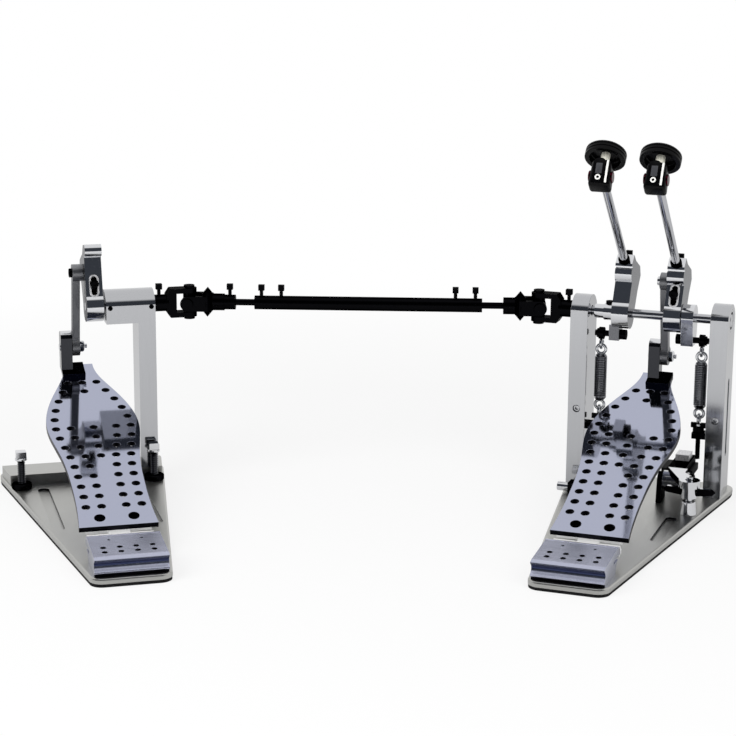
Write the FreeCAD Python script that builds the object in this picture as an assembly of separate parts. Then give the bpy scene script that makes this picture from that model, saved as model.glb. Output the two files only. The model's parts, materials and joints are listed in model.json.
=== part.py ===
import FreeCAD, Part
import math
import os

# Double bass drum pedal: a main pedal with two beaters and a slave pedal, joined by a
# telescoping drive shaft. Origin on the floor under the middle of the main pedal's shaft.
# +X to the player's right, +Y to the drum, +Z up. Each pedal is drawn in its own frame.

# Layout
shaft_height = 182.5
drive_bend = 17.5
joint_spacing = 350.6

# Clearances
running_gap = 0.06
seat_gap = 0.02
side_gap = 0.4
open_gap = 0.35

# Base plate and floor mat
mat_thickness = 3.0
mat_inset = 0.4
plate_thickness = 5.0
plate_heel_margin = 2.5
plate_knee_y = 15.0
plate_front_y = 35.0
plate_heel_half = 35.0
plate_front_half = 82.5
plate_corner = 12.0
plate_rim = 2.0
channel_x = 46.0
channel_width = 11.0
channel_depth = 2.5
channel_back_y = -168.0
channel_front_y = -100.0
slave_channel_front_y = -40.0

# Posts and bearings
post_x = 69.0
post_thickness = 17.3
post_depth = 38.8
post_shoulder_rise = 2.5
post_crown = 16.0
post_foot_screw_y = 10.0
post_face_screw_z = 86.0
post_slot_length = 70.0
post_slot_width = 8.0
post_slot_depth = 2.0
bearing_radius = 11.0
bearing_width = 7.0
slave_post_x = 63.3
slave_arm_start = 23.1
slave_arm_drop = 15.5
slave_bar_height = 10.0
slave_bar_back_y = -17.0
slave_bar_front_y = 21.0
slave_bar_inset = 2.0

# Screws
screw_radius = 2.5
screw_head_radius = 4.5
screw_head_height = 3.0
screw_grip = 16.0
face_screw_head = 3.6
face_screw_depth = 6.0
face_screw_sunk = 1.5
arm_screw_radius = 2.4
arm_screw_proud = 0.8
arm_screw_rise = 0.5
arm_screw_inset = 4.0
key_neck_radius = 1.8
key_neck_height = 5.5
key_head_width = 6.0
key_head_height = 5.5

# Heel plate and heel hinge
heel_width = 65.6
heel_gap = 19.0
heel_depth = 58.0
heel_front_z = 26.0
heel_back_z = 29.4
heel_lip_foot = 1.0
heel_lip_hollow = 2.6
heel_nose_depth = 7.0
heel_nose_drop = 9.0
heel_nose_bulge = (2.05, 2.64)
heel_back_round = 9.0
heel_back_drop = 4.0
heel_back_bulge = (2.5, 1.0)
heel_foot_round = 9.0
heel_foot_bulge = (6.5, 4.0)
heel_hole_radius = 2.6
heel_hole_depth = 1.6
heel_hole_setbacks = (14.0, 24.0)
heel_hole_pitch = 14.5
heel_small_hole_setback = 41.0
heel_screw_x = 18.0
heel_screw_setback = 17.0
hinge_setback = 8.0
hinge_z = 20.0
knuckle_radius = 5.0
knuckle_length = 20.0
hinge_pin_radius = 2.5
hinge_pin_proud = 1.0
leaf_thickness = 2.5
fixed_leaf_length = 34.0

# Footboard, in its own frame from the top of its heel edge
board_heel_z = 30.0
board_slope = 16.95
board_length = 291.0
board_thickness = 5.0
board_heel_half = 36.0
board_waist_half = 33.8
board_waist_at = 70.0
board_belly_half = 44.5
board_belly_at = 172.0
board_flank_hollow = 1.6
board_shoulder_half = 28.0
board_shoulder_setback = 50.0
board_neck_half = 17.2
board_neck_setback = 20.0
board_toe_half = 15.2
board_hole_radius = 4.0
hole_row_first = 32.0
hole_row_pitch = 17.1
hole_edge_margin = 8.3
hole_column_pitch = 14.3
hole_toe_margin = 35.0
hole_inner_rows = 9
hole_centre_rows = (5, 6, 7, 8)
board_screw_x = 15.5
board_screw_at = 13.5
board_screw_head = 5.0
moving_leaf_length = 26.0

# Toe bracket and link
bracket_width = 11.4
bracket_depth = 15.0
bracket_top_above_pivot = 16.5
bracket_foot_width = 23.0
bracket_foot_length = 24.0
bracket_foot_thickness = 4.0
bracket_setback = 2.0
bracket_screw_setback = 14.0
pivot_y = 28.95
pivot_rise = 24.0
link_thickness = 7.5
link_width = 9.5
link_eye_radius = 9.5
link_pin_radius = 4.0
link_boss_radius = 8.5
link_pin_head = 6.0
link_pin_head_width = 3.0
link_pin_reach = 7.5
link_top_y = 12.0
link_top_rise = 32.0

# Hubs on the shafts
shaft_radius = 4.5
hub_width = 16.7
hub_radius = 15.5
hub_arm_angle = 50.0
clamp_front = ((-0.5, 31.0), (-2.6, 33.0), ((-4.2, 38.5), (-2.6, 44.0)), (-2.6, 47.2), (-2.0, 49.5),
               (7.0, 57.0))
plain_front = ((1.0, 50.6), (-5.2, 51.0), ((-6.9, 56.8), (-2.0, 62.3)), (8.0, 60.0))
hub_back = ((15.0, 50.0), (35.0, 41.0), (38.5, 31.0), (26.0, 17.0))
hub_split_z = 44.4
hub_split_width = 2.4
hub_split_floor = 0.0
hub_slot_z = 21.5
hub_slot_width = 6.0
hub_slot_length = 18.0
hub_slot_floor = 4.5
stroke_screw_rise = 2.5
stroke_screw_y = -8.0
stroke_screw_head = 4.4
stroke_screw_head_height = 3.0
main_hub_x = 13.2
aux_hub_x = -38.2
slave_hub_x = 4.9
main_link_gap = 1.1
slave_link_gap = 3.5
pilot_length = 14.0

# Beaters
rod_radius = 4.0
rod_lean = 47.3
rod_exit_y = -0.7
rod_exit_rise = 52.45
rod_length = 198.7
rod_inside = 41.5
clamp_ring_radius = 5.6
clamp_ring_height = 3.5
clamp_screw_y = 20.0
clamp_screw_rise = 47.75
clamp_screw_tip = 44.5
head_width = 21.0
head_height = 22.0
head_back = 15.5
head_front = 6.0
head_corner = 4.0
neck_radius = 4.5
neck_length = 9.0
disc_radius = 19.5
disc_thickness = 10.5
disc_round = 3.5
weight_radius = 7.0
weight_thickness = 3.0
weight_sunk = 1.5
weight_back = 5.0

# Return springs
spring_x = 50.0
cam_width = 12.0
cam_half = 13.0
cam_foot_taper = 5.0
cam_drop = 27.0
stud_drop = 22.0
stud_radius = 3.0
stud_head_radius = 5.0
stud_head_length = 6.0
stud_keeper_radius = 4.6
stud_keeper_width = 1.6
stud_reach = 6.5
lug_width = 10.0
lug_overhang = 3.0
lug_half = 8.0
lug_root = 4.0
swivel_thickness = 5.0
swivel_radius = 6.0
eye_ring_radius = 4.5
eye_wire_radius = 1.5
eye_slack = 0.35
cap_radius = 5.6
cap_height = 2.2
plug_radius = 3.9
plug_length = 5.0
coil_radius = 5.35
coil_wire_radius = 0.85
coil_pitch = 2.3
coil_end_gap = 0.35
lower_eye_drop = 100.5
bracket_drop = 113.5
bracket_arm_depth = 14.0
bracket_arm_height = 6.0
tension_rod_radius = 2.5
tension_rod_drop = 141.5
nut_radius = 5.5
nut_height = 5.0
nut_wing_span = 15.0
nut_wing_height = 4.0
nut_wing_thickness = 3.0

# Stepped collar beside the auxiliary hub
collar_step_x = -47.6
collar_start_x = -57.0
collar_small_radius = 7.0
collar_large_radius = 8.4
collar_screw_head = 3.8
collar_screw_proud = 2.6

# Universal joints and drive shaft
joint_reach = 37.5
ear_inside = 9.7
ear_thickness = 4.8
ear_radius = 7.5
yoke_base = 14.0
yoke_shoulder = 20.0
yoke_neck = 24.0
yoke_collar_radius = 8.5
yoke_collar_end = 35.5
yoke_screw_offset = 1.0
flange_start = 13.0
flange_peak = 18.5
flange_end = 24.0
flange_radius = 15.0
trunnion_radius = 3.5
cross_radius = 6.2
bearing_cap_radius = 5.4
bearing_cap_height = 2.2
drive_rod_radius = 3.25
tube_radius = 7.0
tube_start = 66.0
tube_end_setback = 56.6
clamp_collar_radius = 7.5
clamp_collar_length = 11.2
slave_rod_inside = 105.0
main_rod_inside = 53.0
tube_screw_near = 6.8
tube_screw_far = 26.7

# Hoop clamp on the main base plate
jaw_pin_y = -42.0
jaw_pin_z = 29.0
jaw_pin_radius = 4.0
jaw_barrel_radius = 9.0
jaw_barrel_start = 26.0
jaw_barrel_end = 50.0
ear_plate_thickness = 4.8
ear_plate_flare = 3.0
ear_plate_drop = 1.0
jaw_arm_end = 43.5
jaw_arm_front_y = 28.0
jaw_arm_bottom = 29.0
jaw_arm_height = 8.0
jaw_block_height = 6.0
jaw_block_inset = 2.0
jaw_block_back_y = 2.0
jaw_block_front_y = 20.0
pad_start = 15.0
pad_end = 46.0
pad_back_y = -2.0
pad_front_y = 31.0
pad_height = 9.0
pad_chamfer = 2.0
rear_arm_bottom = 35.0
rear_arm_height = 7.0
rear_arm_inset = 4.0
rear_arm_trim = 1.0
wing_x = 58.0
wing_y = -79.0
wing_boss_radius = 10.0
wing_stud_radius = 3.0
wing_stud_proud = 3.0
wing_hole_gap = 1.1
wing_hub_radius = 7.5
wing_hub_height = 8.0
wing_hub_skirt = 2.0
wing_root = 2.0
wing_tip_taper = 3.0
wing_tip_round = 4.0
wing_span = 50.0
wing_thickness = 3.5
anvil_radius = 8.0
anvil_top_radius = 6.5
anvil_height = 13.0

# Side bolt by the left post, and the slave pedal's spur screws
side_bolt_y = -50.0
side_bolt_z = 14.0
side_bolt_radius = 4.5
side_bolt_start = -78.0
side_block_start = -66.5
side_block_width = 11.0
side_block_depth = 14.0
side_block_cover = 1.5
spur_x = 66.0
spur_y = -28.5
spur_radius = 4.0
spur_height = 37.0
spur_tip_z = 0.5
spur_flange_radius = 6.0
spur_flange_height = 2.0
spur_head_width = 10.0
spur_head_height = 7.0
spur_nut_radius = 10.0
spur_nut_height = 6.0

# Worked out from the values above
V = FreeCAD.Vector
X_AXIS = V(1, 0, 0)
Y_AXIS = V(0, 1, 0)
Z_AXIS = V(0, 0, 1)
base_top = mat_thickness + plate_thickness
post_half = post_thickness / 2
post_round = post_depth / 2
main_joint_x = -(post_x + post_half + joint_reach)
slave_joint_x = slave_post_x + post_half + joint_reach
slave_arm_end = slave_post_x + post_half
arm_screw_z = shaft_height + arm_screw_rise
ear_outside = ear_inside + ear_thickness
board_cos = math.cos(math.radians(board_slope))
board_sin = math.sin(math.radians(board_slope))
board_heel_y = pivot_y + bracket_depth / 2 - (board_length - bracket_setback) * board_cos
hinge_y = board_heel_y - hinge_setback
heel_back_y = board_heel_y - heel_gap
heel_front_y = heel_back_y - heel_depth
heel_hole_rows = [heel_front_y + setback for setback in heel_hole_setbacks]
heel_small_hole_y = heel_front_y + heel_small_hole_setback
heel_screw_y = heel_front_y + heel_screw_setback
plate_heel_y = heel_front_y - plate_heel_margin
board_top_at_pivot = board_heel_z + (pivot_y - board_heel_y) * board_sin / board_cos
pivot_z = board_top_at_pivot + pivot_rise
stud_z = shaft_height - stud_drop
swivel_ring_z = stud_z - swivel_radius - eye_ring_radius
eye_step = 2 * eye_wire_radius + eye_slack
upper_ring_z = swivel_ring_z - 2 * eye_ring_radius + eye_step
lower_eye_z = shaft_height - lower_eye_drop
lower_ring_z = lower_eye_z + 2 * eye_ring_radius - eye_step
tube_length = joint_spacing - tube_start - tube_end_setback
rod_sin = math.sin(math.radians(rod_lean))
rod_cos = math.cos(math.radians(rod_lean))
rod_axis = V(0, -rod_sin, rod_cos)


# Shapes

def rod_x(radius, x0, x1, y, z):
    return Part.makeCylinder(radius, abs(x1 - x0), V(min(x0, x1), y, z), X_AXIS)


def rod_y(radius, y0, y1, x, z):
    return Part.makeCylinder(radius, abs(y1 - y0), V(x, min(y0, y1), z), Y_AXIS)


def rod_z(radius, z0, z1, x, y):
    return Part.makeCylinder(radius, abs(z1 - z0), V(x, y, min(z0, z1)), Z_AXIS)


def block(x0, x1, y0, y1, z0, z1):
    corner = V(min(x0, x1), min(y0, y1), min(z0, z1))
    return Part.makeBox(abs(x1 - x0), abs(y1 - y0), abs(z1 - z0), corner)


def side_wire(x, start, steps):
    """Closed outline across X: a point is a straight step, a pair of points an arc."""
    edges = []
    here = V(x, *start)
    for step in steps:
        if isinstance(step[0], tuple):
            middle, end = V(x, *step[0]), V(x, *step[1])
            edges.append(Part.Arc(here, middle, end).toShape())
        else:
            end = V(x, *step)
            edges.append(Part.LineSegment(here, end).toShape())
        here = end
    first = V(x, *start)
    if not here.isEqual(first, 0.001):
        edges.append(Part.LineSegment(here, first).toShape())
    return Part.Wire(edges)


def slab(x0, x1, start, steps):
    return Part.Face(side_wire(x0, start, steps)).extrude(V(x1 - x0, 0, 0))


def plan(points, z0, z1):
    corners = [V(x, y, z0) for x, y in points]
    return Part.Face(Part.makePolygon(corners + corners[:1])).extrude(V(0, 0, z1 - z0))


def fuse(first, *others):
    return first.multiFuse(list(others)).removeSplitter()


def group(solids):
    return Part.makeCompound(list(solids))


def key_screw(x, y, base_z, tip_z):
    """Square-headed key screw standing on base_z, with its tip at tip_z."""
    neck = rod_z(key_neck_radius, tip_z, base_z + key_neck_height, x, y)
    half = key_head_width / 2
    head_z = base_z + key_neck_height
    head = block(x - half, x + half, y - half, y + half, head_z, head_z + key_head_height)
    return fuse(neck, head)


def key_screw_hole(x, y, base_z, tip_z):
    return rod_z(key_neck_radius + seat_gap, tip_z - side_gap, base_z, x, y)


def ring(centre, axis):
    return Part.makeTorus(eye_ring_radius, eye_wire_radius, centre, axis)


# Base plate and floor mat of either pedal

def plate_half(y):
    share = (y - plate_heel_y) / (plate_knee_y - plate_heel_y)
    return plate_heel_half + (plate_front_half - plate_heel_half) * min(share, 1.0)


def base_outline(z0, z1, inset):
    corners = [(plate_heel_half, plate_heel_y), (plate_front_half, plate_knee_y)]
    corners += [(plate_front_half, plate_front_y)]
    mirrored = [(-x, y) for x, y in reversed(corners)]
    body = plan(corners + mirrored, z0, z1)
    upright = [e for e in body.Edges if abs(e.tangentAt(e.FirstParameter).z) > 0.9]
    sharp = [e for e in upright if abs(e.Vertexes[0].Point.y - plate_knee_y) > 1.0]
    rounded = body.makeFillet(plate_corner, sharp)
    if inset == 0:
        return rounded
    top = min(rounded.Faces, key=lambda f: f.CenterOfMass.z)
    return top.OuterWire.makeOffset2D(-inset).Wires[0]


def foot_screw(x, y, grip):
    head_z = mat_thickness + side_gap
    head = rod_z(screw_head_radius, head_z, head_z + screw_head_height, x, y)
    return fuse(head, rod_z(screw_radius, head_z, grip, x, y))


def foot_screw_hole(x, y, grip):
    head_top = mat_thickness + side_gap + screw_head_height
    head = rod_z(screw_head_radius + side_gap, mat_thickness - 1.0, head_top, x, y)
    return fuse(head, rod_z(screw_radius + seat_gap, mat_thickness, grip + side_gap, x, y))


def base_plate(channel_front, holes):
    plate = base_outline(mat_thickness, base_top, 0)
    rim = [e for e in plate.Edges if min(v.Point.z for v in e.Vertexes) > base_top - 0.01]
    plate = plate.makeFillet(plate_rim, rim)
    half = channel_width / 2
    for side in (-1, 1):
        x = side * channel_x
        floor_z = base_top - channel_depth
        cut = block(x - half, x + half, channel_back_y, channel_front, floor_z, base_top + 1)
        end = rod_z(half, floor_z, base_top + 1, x, channel_back_y)
        front_end = rod_z(half, floor_z, base_top + 1, x, channel_front)
        plate = plate.cut(fuse(cut, end, front_end))
    return plate.cut(group(holes))


def floor_mat():
    face = Part.Face(base_outline(0.0, mat_thickness, mat_inset))
    return face.extrude(V(0, 0, mat_thickness))


# Heel plate, heel hinge and footboard of either pedal

def leaf_top():
    return hinge_z + leaf_thickness / 2


def heel_plate(holes):
    half = heel_width / 2
    nose_z = heel_front_z - heel_nose_drop
    nose_y = heel_front_y + heel_nose_depth
    bulge_y, bulge_z = heel_nose_bulge
    jaw_root = hinge_y - fixed_leaf_length - side_gap
    jaw_top = leaf_top() - leaf_thickness
    jaw_end = jaw_root + fixed_leaf_length / 2
    back_y, back_z = heel_back_bulge
    foot_y, foot_z = heel_foot_bulge
    body = slab(-half, half, (heel_front_y + heel_lip_foot, base_top), [
        ((heel_front_y + heel_lip_hollow, (base_top + nose_z) / 2), (heel_front_y, nose_z)),
        ((heel_front_y + bulge_y, heel_front_z - bulge_z), (nose_y, heel_front_z)),
        (heel_back_y - heel_back_round, heel_back_z),
        ((heel_back_y - back_y, heel_back_z - back_z), (heel_back_y, heel_back_z - heel_back_drop)),
        (heel_back_y, leaf_top()),
        (jaw_root, leaf_top()),
        (jaw_root, jaw_top),
        (jaw_end, jaw_top),
        ((jaw_end - foot_y, jaw_top - foot_z), (jaw_end - heel_foot_round, base_top)),
    ])
    top_z = max(heel_front_z, heel_back_z)
    rise = (heel_back_z - heel_front_z) / (heel_back_y - heel_back_round - nose_y)
    for y in heel_hole_rows:
        surface = heel_front_z + rise * (y - nose_y)
        for column in range(4):
            x = (column - 1.5) * heel_hole_pitch
            body = body.cut(rod_z(heel_hole_radius, surface - heel_hole_depth, top_z + 1, x, y))
    surface = heel_front_z + rise * (heel_small_hole_y - nose_y)
    for x in (-heel_hole_pitch, heel_hole_pitch):
        small = rod_z(heel_hole_radius / 2, surface - heel_hole_depth, top_z + 1, x, heel_small_hole_y)
        body = body.cut(small)
    return body.cut(group(holes))


def heel_hinge():
    """Fixed leaf with the two outer knuckles, and the pin."""
    pin_half = 1.5 * knuckle_length
    leaf_z = leaf_top() - leaf_thickness
    bore = rod_x(hinge_pin_radius + seat_gap, -pin_half, pin_half, hinge_y, hinge_z)
    leaf = block(-pin_half, pin_half, hinge_y - fixed_leaf_length, hinge_y, leaf_z, leaf_top())
    middle = knuckle_length / 2
    room = rod_x(knuckle_radius + side_gap, -middle, middle, hinge_y, hinge_z)
    knuckles = []
    for side in (-1, 1):
        x0 = side * (middle + side_gap / 2)
        knuckles.append(rod_x(knuckle_radius, x0, side * pin_half, hinge_y, hinge_z))
    leaf = fuse(leaf.cut(room), *knuckles).cut(bore)
    pin = rod_x(hinge_pin_radius, -pin_half - hinge_pin_proud, pin_half + hinge_pin_proud, hinge_y, hinge_z)
    return group([leaf, pin])


def on_board(shape):
    spin = FreeCAD.Rotation(X_AXIS, board_slope)
    shape.Placement = FreeCAD.Placement(V(0, board_heel_y, board_heel_z), spin)
    return shape


def board_edge():
    edge = Part.BSplineCurve()
    between = (board_waist_at + board_belly_at) / 2
    middle = (board_waist_half + board_belly_half) / 2 - board_flank_hollow
    edge.interpolate([
        V(board_heel_half, 0, 0),
        V(board_waist_half, board_waist_at, 0),
        V(middle, between, 0),
        V(board_belly_half, board_belly_at, 0),
        V(board_shoulder_half, board_length - board_shoulder_setback, 0),
        V(board_neck_half, board_length - board_neck_setback, 0),
        V(board_toe_half, board_length, 0),
    ])
    return edge


def board_half(edge, along):
    low, high = edge.FirstParameter, edge.LastParameter
    for _ in range(40):
        middle = (low + high) / 2
        if edge.value(middle).y < along:
            low = middle
        else:
            high = middle
    return edge.value(low).x


def board_hole_places():
    edge = board_edge()
    rows = int((board_length - hole_toe_margin - hole_row_first) / hole_row_pitch) + 1
    places = []
    for row in range(rows):
        along = hole_row_first + row * hole_row_pitch
        outer = board_half(edge, along) - hole_edge_margin
        places += [(outer, along), (-outer, along)]
        if row < hole_inner_rows:
            inner = outer - hole_column_pitch
            places += [(inner, along), (-inner, along)]
        if row in hole_centre_rows or row >= rows - 2:
            places.append((0.0, along))
    return places


def board_screw_places(bracket_x):
    toe_screw_x = bracket_x + bracket_foot_width - (bracket_foot_width - bracket_width) / 2
    heel = [(side * board_screw_x, board_screw_at, 0.0, leaf_thickness) for side in (-1, 1)]
    toe_at = board_length - bracket_setback - bracket_screw_setback
    return heel + [(toe_screw_x, toe_at, bracket_foot_thickness, 0.0)]


def board_screws(bracket_x, grow):
    """Flush screws of the hinge leaf and of the toe bracket, or their holes grown by a gap."""
    solids = []
    for x, along, above, below in board_screw_places(bracket_x):
        head_bottom = above - screw_head_height / 2
        head_top = above if grow == 0 else above + 1.0
        tip = -board_thickness - below
        head = rod_z(board_screw_head + grow, head_bottom, head_top, x, along)
        solids.append(fuse(head, rod_z(screw_radius + grow, tip, head_top, x, along)))
    return solids


def footboard(bracket_x):
    edge = board_edge()
    mirror = edge.copy()
    mirror.mirror(V(0, 0, 0), Y_AXIS)
    mirror.reverse()
    right, left = edge.toShape(), mirror.toShape()
    toe = Part.makeLine(V(board_toe_half, board_length, 0), V(-board_toe_half, board_length, 0))
    heel = Part.makeLine(V(-board_heel_half, 0, 0), V(board_heel_half, 0, 0))
    board = Part.Face(Part.Wire([right, toe, left, heel])).extrude(V(0, 0, -board_thickness))
    holes = []
    for x, along in board_hole_places():
        holes.append(rod_z(board_hole_radius, -board_thickness - 1, 1, x, along))
    return on_board(board.cut(group(holes + board_screws(bracket_x, seat_gap))))


def hinge_leaf(bracket_x):
    """Moving leaf under the board with the middle knuckle, and the screws on the board."""
    dy, dz = hinge_y - board_heel_y, hinge_z - board_heel_z
    pin_at, pin_n = dy * board_cos + dz * board_sin, dz * board_cos - dy * board_sin
    half = knuckle_length / 2 - side_gap / 2
    wide = 1.5 * knuckle_length
    top = -board_thickness
    leaf = block(-wide, wide, 0.0, moving_leaf_length, top - leaf_thickness, top)
    web = block(-half, half, pin_at, 1.0, top - leaf_thickness, top)
    knuckle = rod_x(knuckle_radius, -half, half, pin_at, pin_n)
    bore = rod_x(hinge_pin_radius + running_gap, -half - 1, half + 1, pin_at, pin_n)
    leaf = fuse(leaf, web, knuckle).cut(group([bore] + board_screws(bracket_x, seat_gap)))
    return on_board(group([leaf] + board_screws(bracket_x, 0.0)))


# Toe bracket and link of either pedal

def toe_bracket(bracket_x):
    toe_at = board_length - bracket_setback
    foot = block(bracket_x, bracket_x + bracket_foot_width, toe_at - bracket_foot_length, toe_at,
                 0, bracket_foot_thickness)
    foot = on_board(foot.cut(group(board_screws(bracket_x, seat_gap)))).copy()
    y0, y1 = pivot_y - bracket_depth / 2, pivot_y + bracket_depth / 2
    slope = board_sin / board_cos
    z0, z1 = (board_heel_z + (y - board_heel_y) * slope for y in (y0, y1))
    top = pivot_z + bracket_top_above_pivot
    side_top = top - bracket_depth / 2
    end = bracket_x + bracket_width
    upright = slab(bracket_x, end, (y0, z0), [
        (y1, z1), (y1, side_top), ((pivot_y, top), (y0, side_top))])
    bore = rod_x(link_pin_radius + running_gap, bracket_x - 1, end + 1, pivot_y, pivot_z)
    return fuse(upright, foot).cut(bore)


def link_bar(link_x, boss_end):
    """Flat bar from the toe bracket's pivot up to the boss beside the hub arm."""
    top_z = shaft_height + link_top_rise
    end = link_x + link_thickness
    lean = math.degrees(math.atan2(pivot_y - link_top_y, top_z - pivot_z))
    length = math.hypot(pivot_y - link_top_y, top_z - pivot_z)
    bar = block(link_x, end, -link_width / 2, link_width / 2, 0, length)
    bar.rotate(V(0, 0, 0), X_AXIS, lean)
    bar.translate(V(0, pivot_y, pivot_z))
    lower_eye = rod_x(link_eye_radius, link_x, end, pivot_y, pivot_z)
    boss = rod_x(link_boss_radius, link_x, boss_end, link_top_y, top_z)
    bore = rod_x(link_pin_radius + running_gap, link_x - 1, end + 1, pivot_y, pivot_z)
    return fuse(bar, lower_eye, boss).cut(bore)


def link_pin(bracket_x, link_x):
    """Pivot pin through the bracket and the link, with a head and a domed nut."""
    end = link_x + link_thickness
    head_end = bracket_x - side_gap
    pin = rod_x(link_pin_radius, head_end, end + link_pin_reach, pivot_y, pivot_z)
    head = rod_x(link_pin_head, head_end - link_pin_head_width, head_end, pivot_y, pivot_z)
    nut_end = end + link_pin_reach - link_pin_head_width
    nut = rod_x(link_pin_head, end + side_gap, nut_end, pivot_y, pivot_z)
    return fuse(pin, head, nut)


# Hubs, rod clamps and beaters

def rod_point(distance):
    """Point on the beater rod's axis, from where it leaves the hub, in the hub's own X plane."""
    return V(0, rod_exit_y, shaft_height + rod_exit_rise) + rod_axis * distance


def above_shaft(steps):
    """Outline steps measured from the shaft's axis, lifted to the shaft's height."""
    lifted = []
    for step in steps:
        if isinstance(step[0], tuple):
            lifted.append(tuple((y, shaft_height + z) for y, z in step))
        else:
            lifted.append((step[0], shaft_height + step[1]))
    return lifted


def hub_body(hub_x, front):
    """Round barrel on the shaft with an arm rising from it."""
    low, high = (math.radians(angle) for angle in (hub_arm_angle / 2, hub_arm_angle))
    shoulder = tuple((-hub_radius * math.cos(a), hub_radius * math.sin(a)) for a in (low, high))
    under = ((hub_radius, 0.0), ((0.0, -hub_radius), (-hub_radius, 0.0)))
    steps = above_shaft((shoulder,) + front + hub_back + under)
    return slab(hub_x, hub_x + hub_width, (-hub_radius, shaft_height), steps)


def stroke_slot(hub_x):
    centre = hub_x + hub_width / 2
    half = hub_slot_width / 2
    low = shaft_height + hub_slot_z - hub_slot_length / 2 + half
    high = shaft_height + hub_slot_z + hub_slot_length / 2 - half
    front = -hub_radius - 1
    ends = [rod_y(half, front, hub_slot_floor, centre, z) for z in (low, high)]
    return fuse(block(centre - half, centre + half, front, hub_slot_floor, low, high), *ends)


def clamp_cuts(hub_x):
    """Rod socket, split, key screw hole and ring pocket of a hub that holds a beater."""
    centre = hub_x + hub_width / 2
    socket = Part.makeCylinder(rod_radius + running_gap, 2 * rod_inside,
                               rod_point(-1.5 * rod_inside) + V(centre, 0, 0), rod_axis)
    split_z = shaft_height + hub_split_z
    split = block(hub_x - 1, hub_x + hub_width + 1, -hub_radius, hub_split_floor,
                  split_z, split_z + hub_split_width)
    screw_top = shaft_height + clamp_screw_rise + key_neck_height
    screw_hole = key_screw_hole(centre, clamp_screw_y, screw_top, shaft_height + clamp_screw_tip)
    return [socket, split, screw_hole, clamp_ring(centre, seat_gap)]


def main_drive_hub():
    cuts = clamp_cuts(main_hub_x) + [stroke_slot(main_hub_x)]
    cuts.append(shaft_bore(main_hub_x - 1, main_hub_x + hub_width + 1, seat_gap))
    return hub_body(main_hub_x, clamp_front).cut(group(cuts))


def slave_drive_hub():
    bore = shaft_bore(slave_hub_x - 1, slave_hub_x + hub_width + 1, seat_gap)
    return hub_body(slave_hub_x, plain_front).cut(group([stroke_slot(slave_hub_x), bore]))


def shaft_bore(x0, x1, gap):
    return rod_x(shaft_radius + gap, x0, x1, 0, shaft_height)


def clamp_ring(centre, grow):
    """Ring round the rod, let into the top of the hub; grown, it is the pocket for it."""
    start = rod_point(-grow) + V(centre, 0, 0)
    return Part.makeCylinder(clamp_ring_radius + grow, clamp_ring_height, start, rod_axis)


def rod_clamp(hub_x):
    """Ring and key screw of the rod clamp."""
    centre = hub_x + hub_width / 2
    bore_start = rod_point(-rod_inside) + V(centre, 0, 0)
    bore = Part.makeCylinder(rod_radius + running_gap, rod_length, bore_start, rod_axis)
    screw_base = shaft_height + clamp_screw_rise
    screw = key_screw(centre, clamp_screw_y, screw_base, shaft_height + clamp_screw_tip)
    return [clamp_ring(centre, 0.0).cut(bore), screw]


def stroke_screw(hub_x):
    """Screw that sets the stroke, in the slot of a drive hub."""
    centre = hub_x + hub_width / 2
    screw_z = shaft_height + hub_slot_z + stroke_screw_rise
    head = rod_y(stroke_screw_head, stroke_screw_y - stroke_screw_head_height, stroke_screw_y, centre, screw_z)
    shank = rod_y(hub_slot_width / 2 - side_gap, stroke_screw_y, hub_slot_floor, centre, screw_z)
    return fuse(head, shank)


def beater_rod(hub_x):
    start = rod_point(-rod_inside) + V(hub_x + hub_width / 2, 0, 0)
    return Part.makeCylinder(rod_radius, rod_length, start, rod_axis)


def beater_head(hub_x):
    """Body, neck, striking disc and side weights, drawn upright and then leaned back on the rod."""
    half = head_width / 2
    tall = head_height / 2
    body = block(-half, half, -head_back, head_front, -tall, tall)
    long_edges = [e for e in body.Edges if abs(e.tangentAt(e.FirstParameter).y) > 0.9]
    body = body.makeFillet(head_corner, long_edges)
    socket = rod_z(rod_radius + seat_gap, -tall - 1, rod_inside, 0, 0)
    for side in (-1, 1):
        floor_x = side * (half - weight_sunk)
        body = body.cut(rod_x(weight_radius + seat_gap, floor_x, side * head_width, -weight_back, 0))
    body = body.cut(socket)
    neck = rod_y(neck_radius, head_front, head_front + neck_length, 0, 0)
    disc_start = head_front + neck_length
    disc = rod_y(disc_radius, disc_start, disc_start + disc_thickness, 0, 0)
    disc = disc.makeFillet(disc_round, [e for e in disc.Edges if e.Closed])
    weights = []
    for side in (-1, 1):
        floor_x = side * (half - weight_sunk)
        weights.append(rod_x(weight_radius, floor_x, floor_x + side * weight_thickness, -weight_back, 0))
    head = group([fuse(body, neck), disc] + weights)
    top = rod_point(rod_length - rod_inside - head_height / 2) + V(hub_x + hub_width / 2, 0, 0)
    head.Placement = FreeCAD.Placement(top, FreeCAD.Rotation(X_AXIS, rod_lean))
    return head


# Return springs of the main pedal, drawn on the right and mirrored for the left

def stud(seat_x, side):
    """Bolt with its head on seat_x, through the swivel and out to a keeper ring."""
    keeper_x = side * (spring_x + swivel_thickness / 2 + side_gap)
    body = rod_x(stud_radius, seat_x, side * (spring_x + stud_reach), 0, stud_z)
    head = rod_x(stud_head_radius, seat_x - side * stud_head_length, seat_x, 0, stud_z)
    keeper = rod_x(stud_keeper_radius, keeper_x, keeper_x + side * stud_keeper_width, 0, stud_z)
    return fuse(body, head, keeper)


def swivel(x):
    half = swivel_thickness / 2
    eye = rod_x(swivel_radius, x - half, x + half, 0, stud_z)
    hook = ring(V(x, 0, swivel_ring_z), X_AXIS)
    bore = rod_x(stud_radius + running_gap, x - half - 1, x + half + 1, 0, stud_z)
    return fuse(eye, hook).cut(bore)


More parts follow.
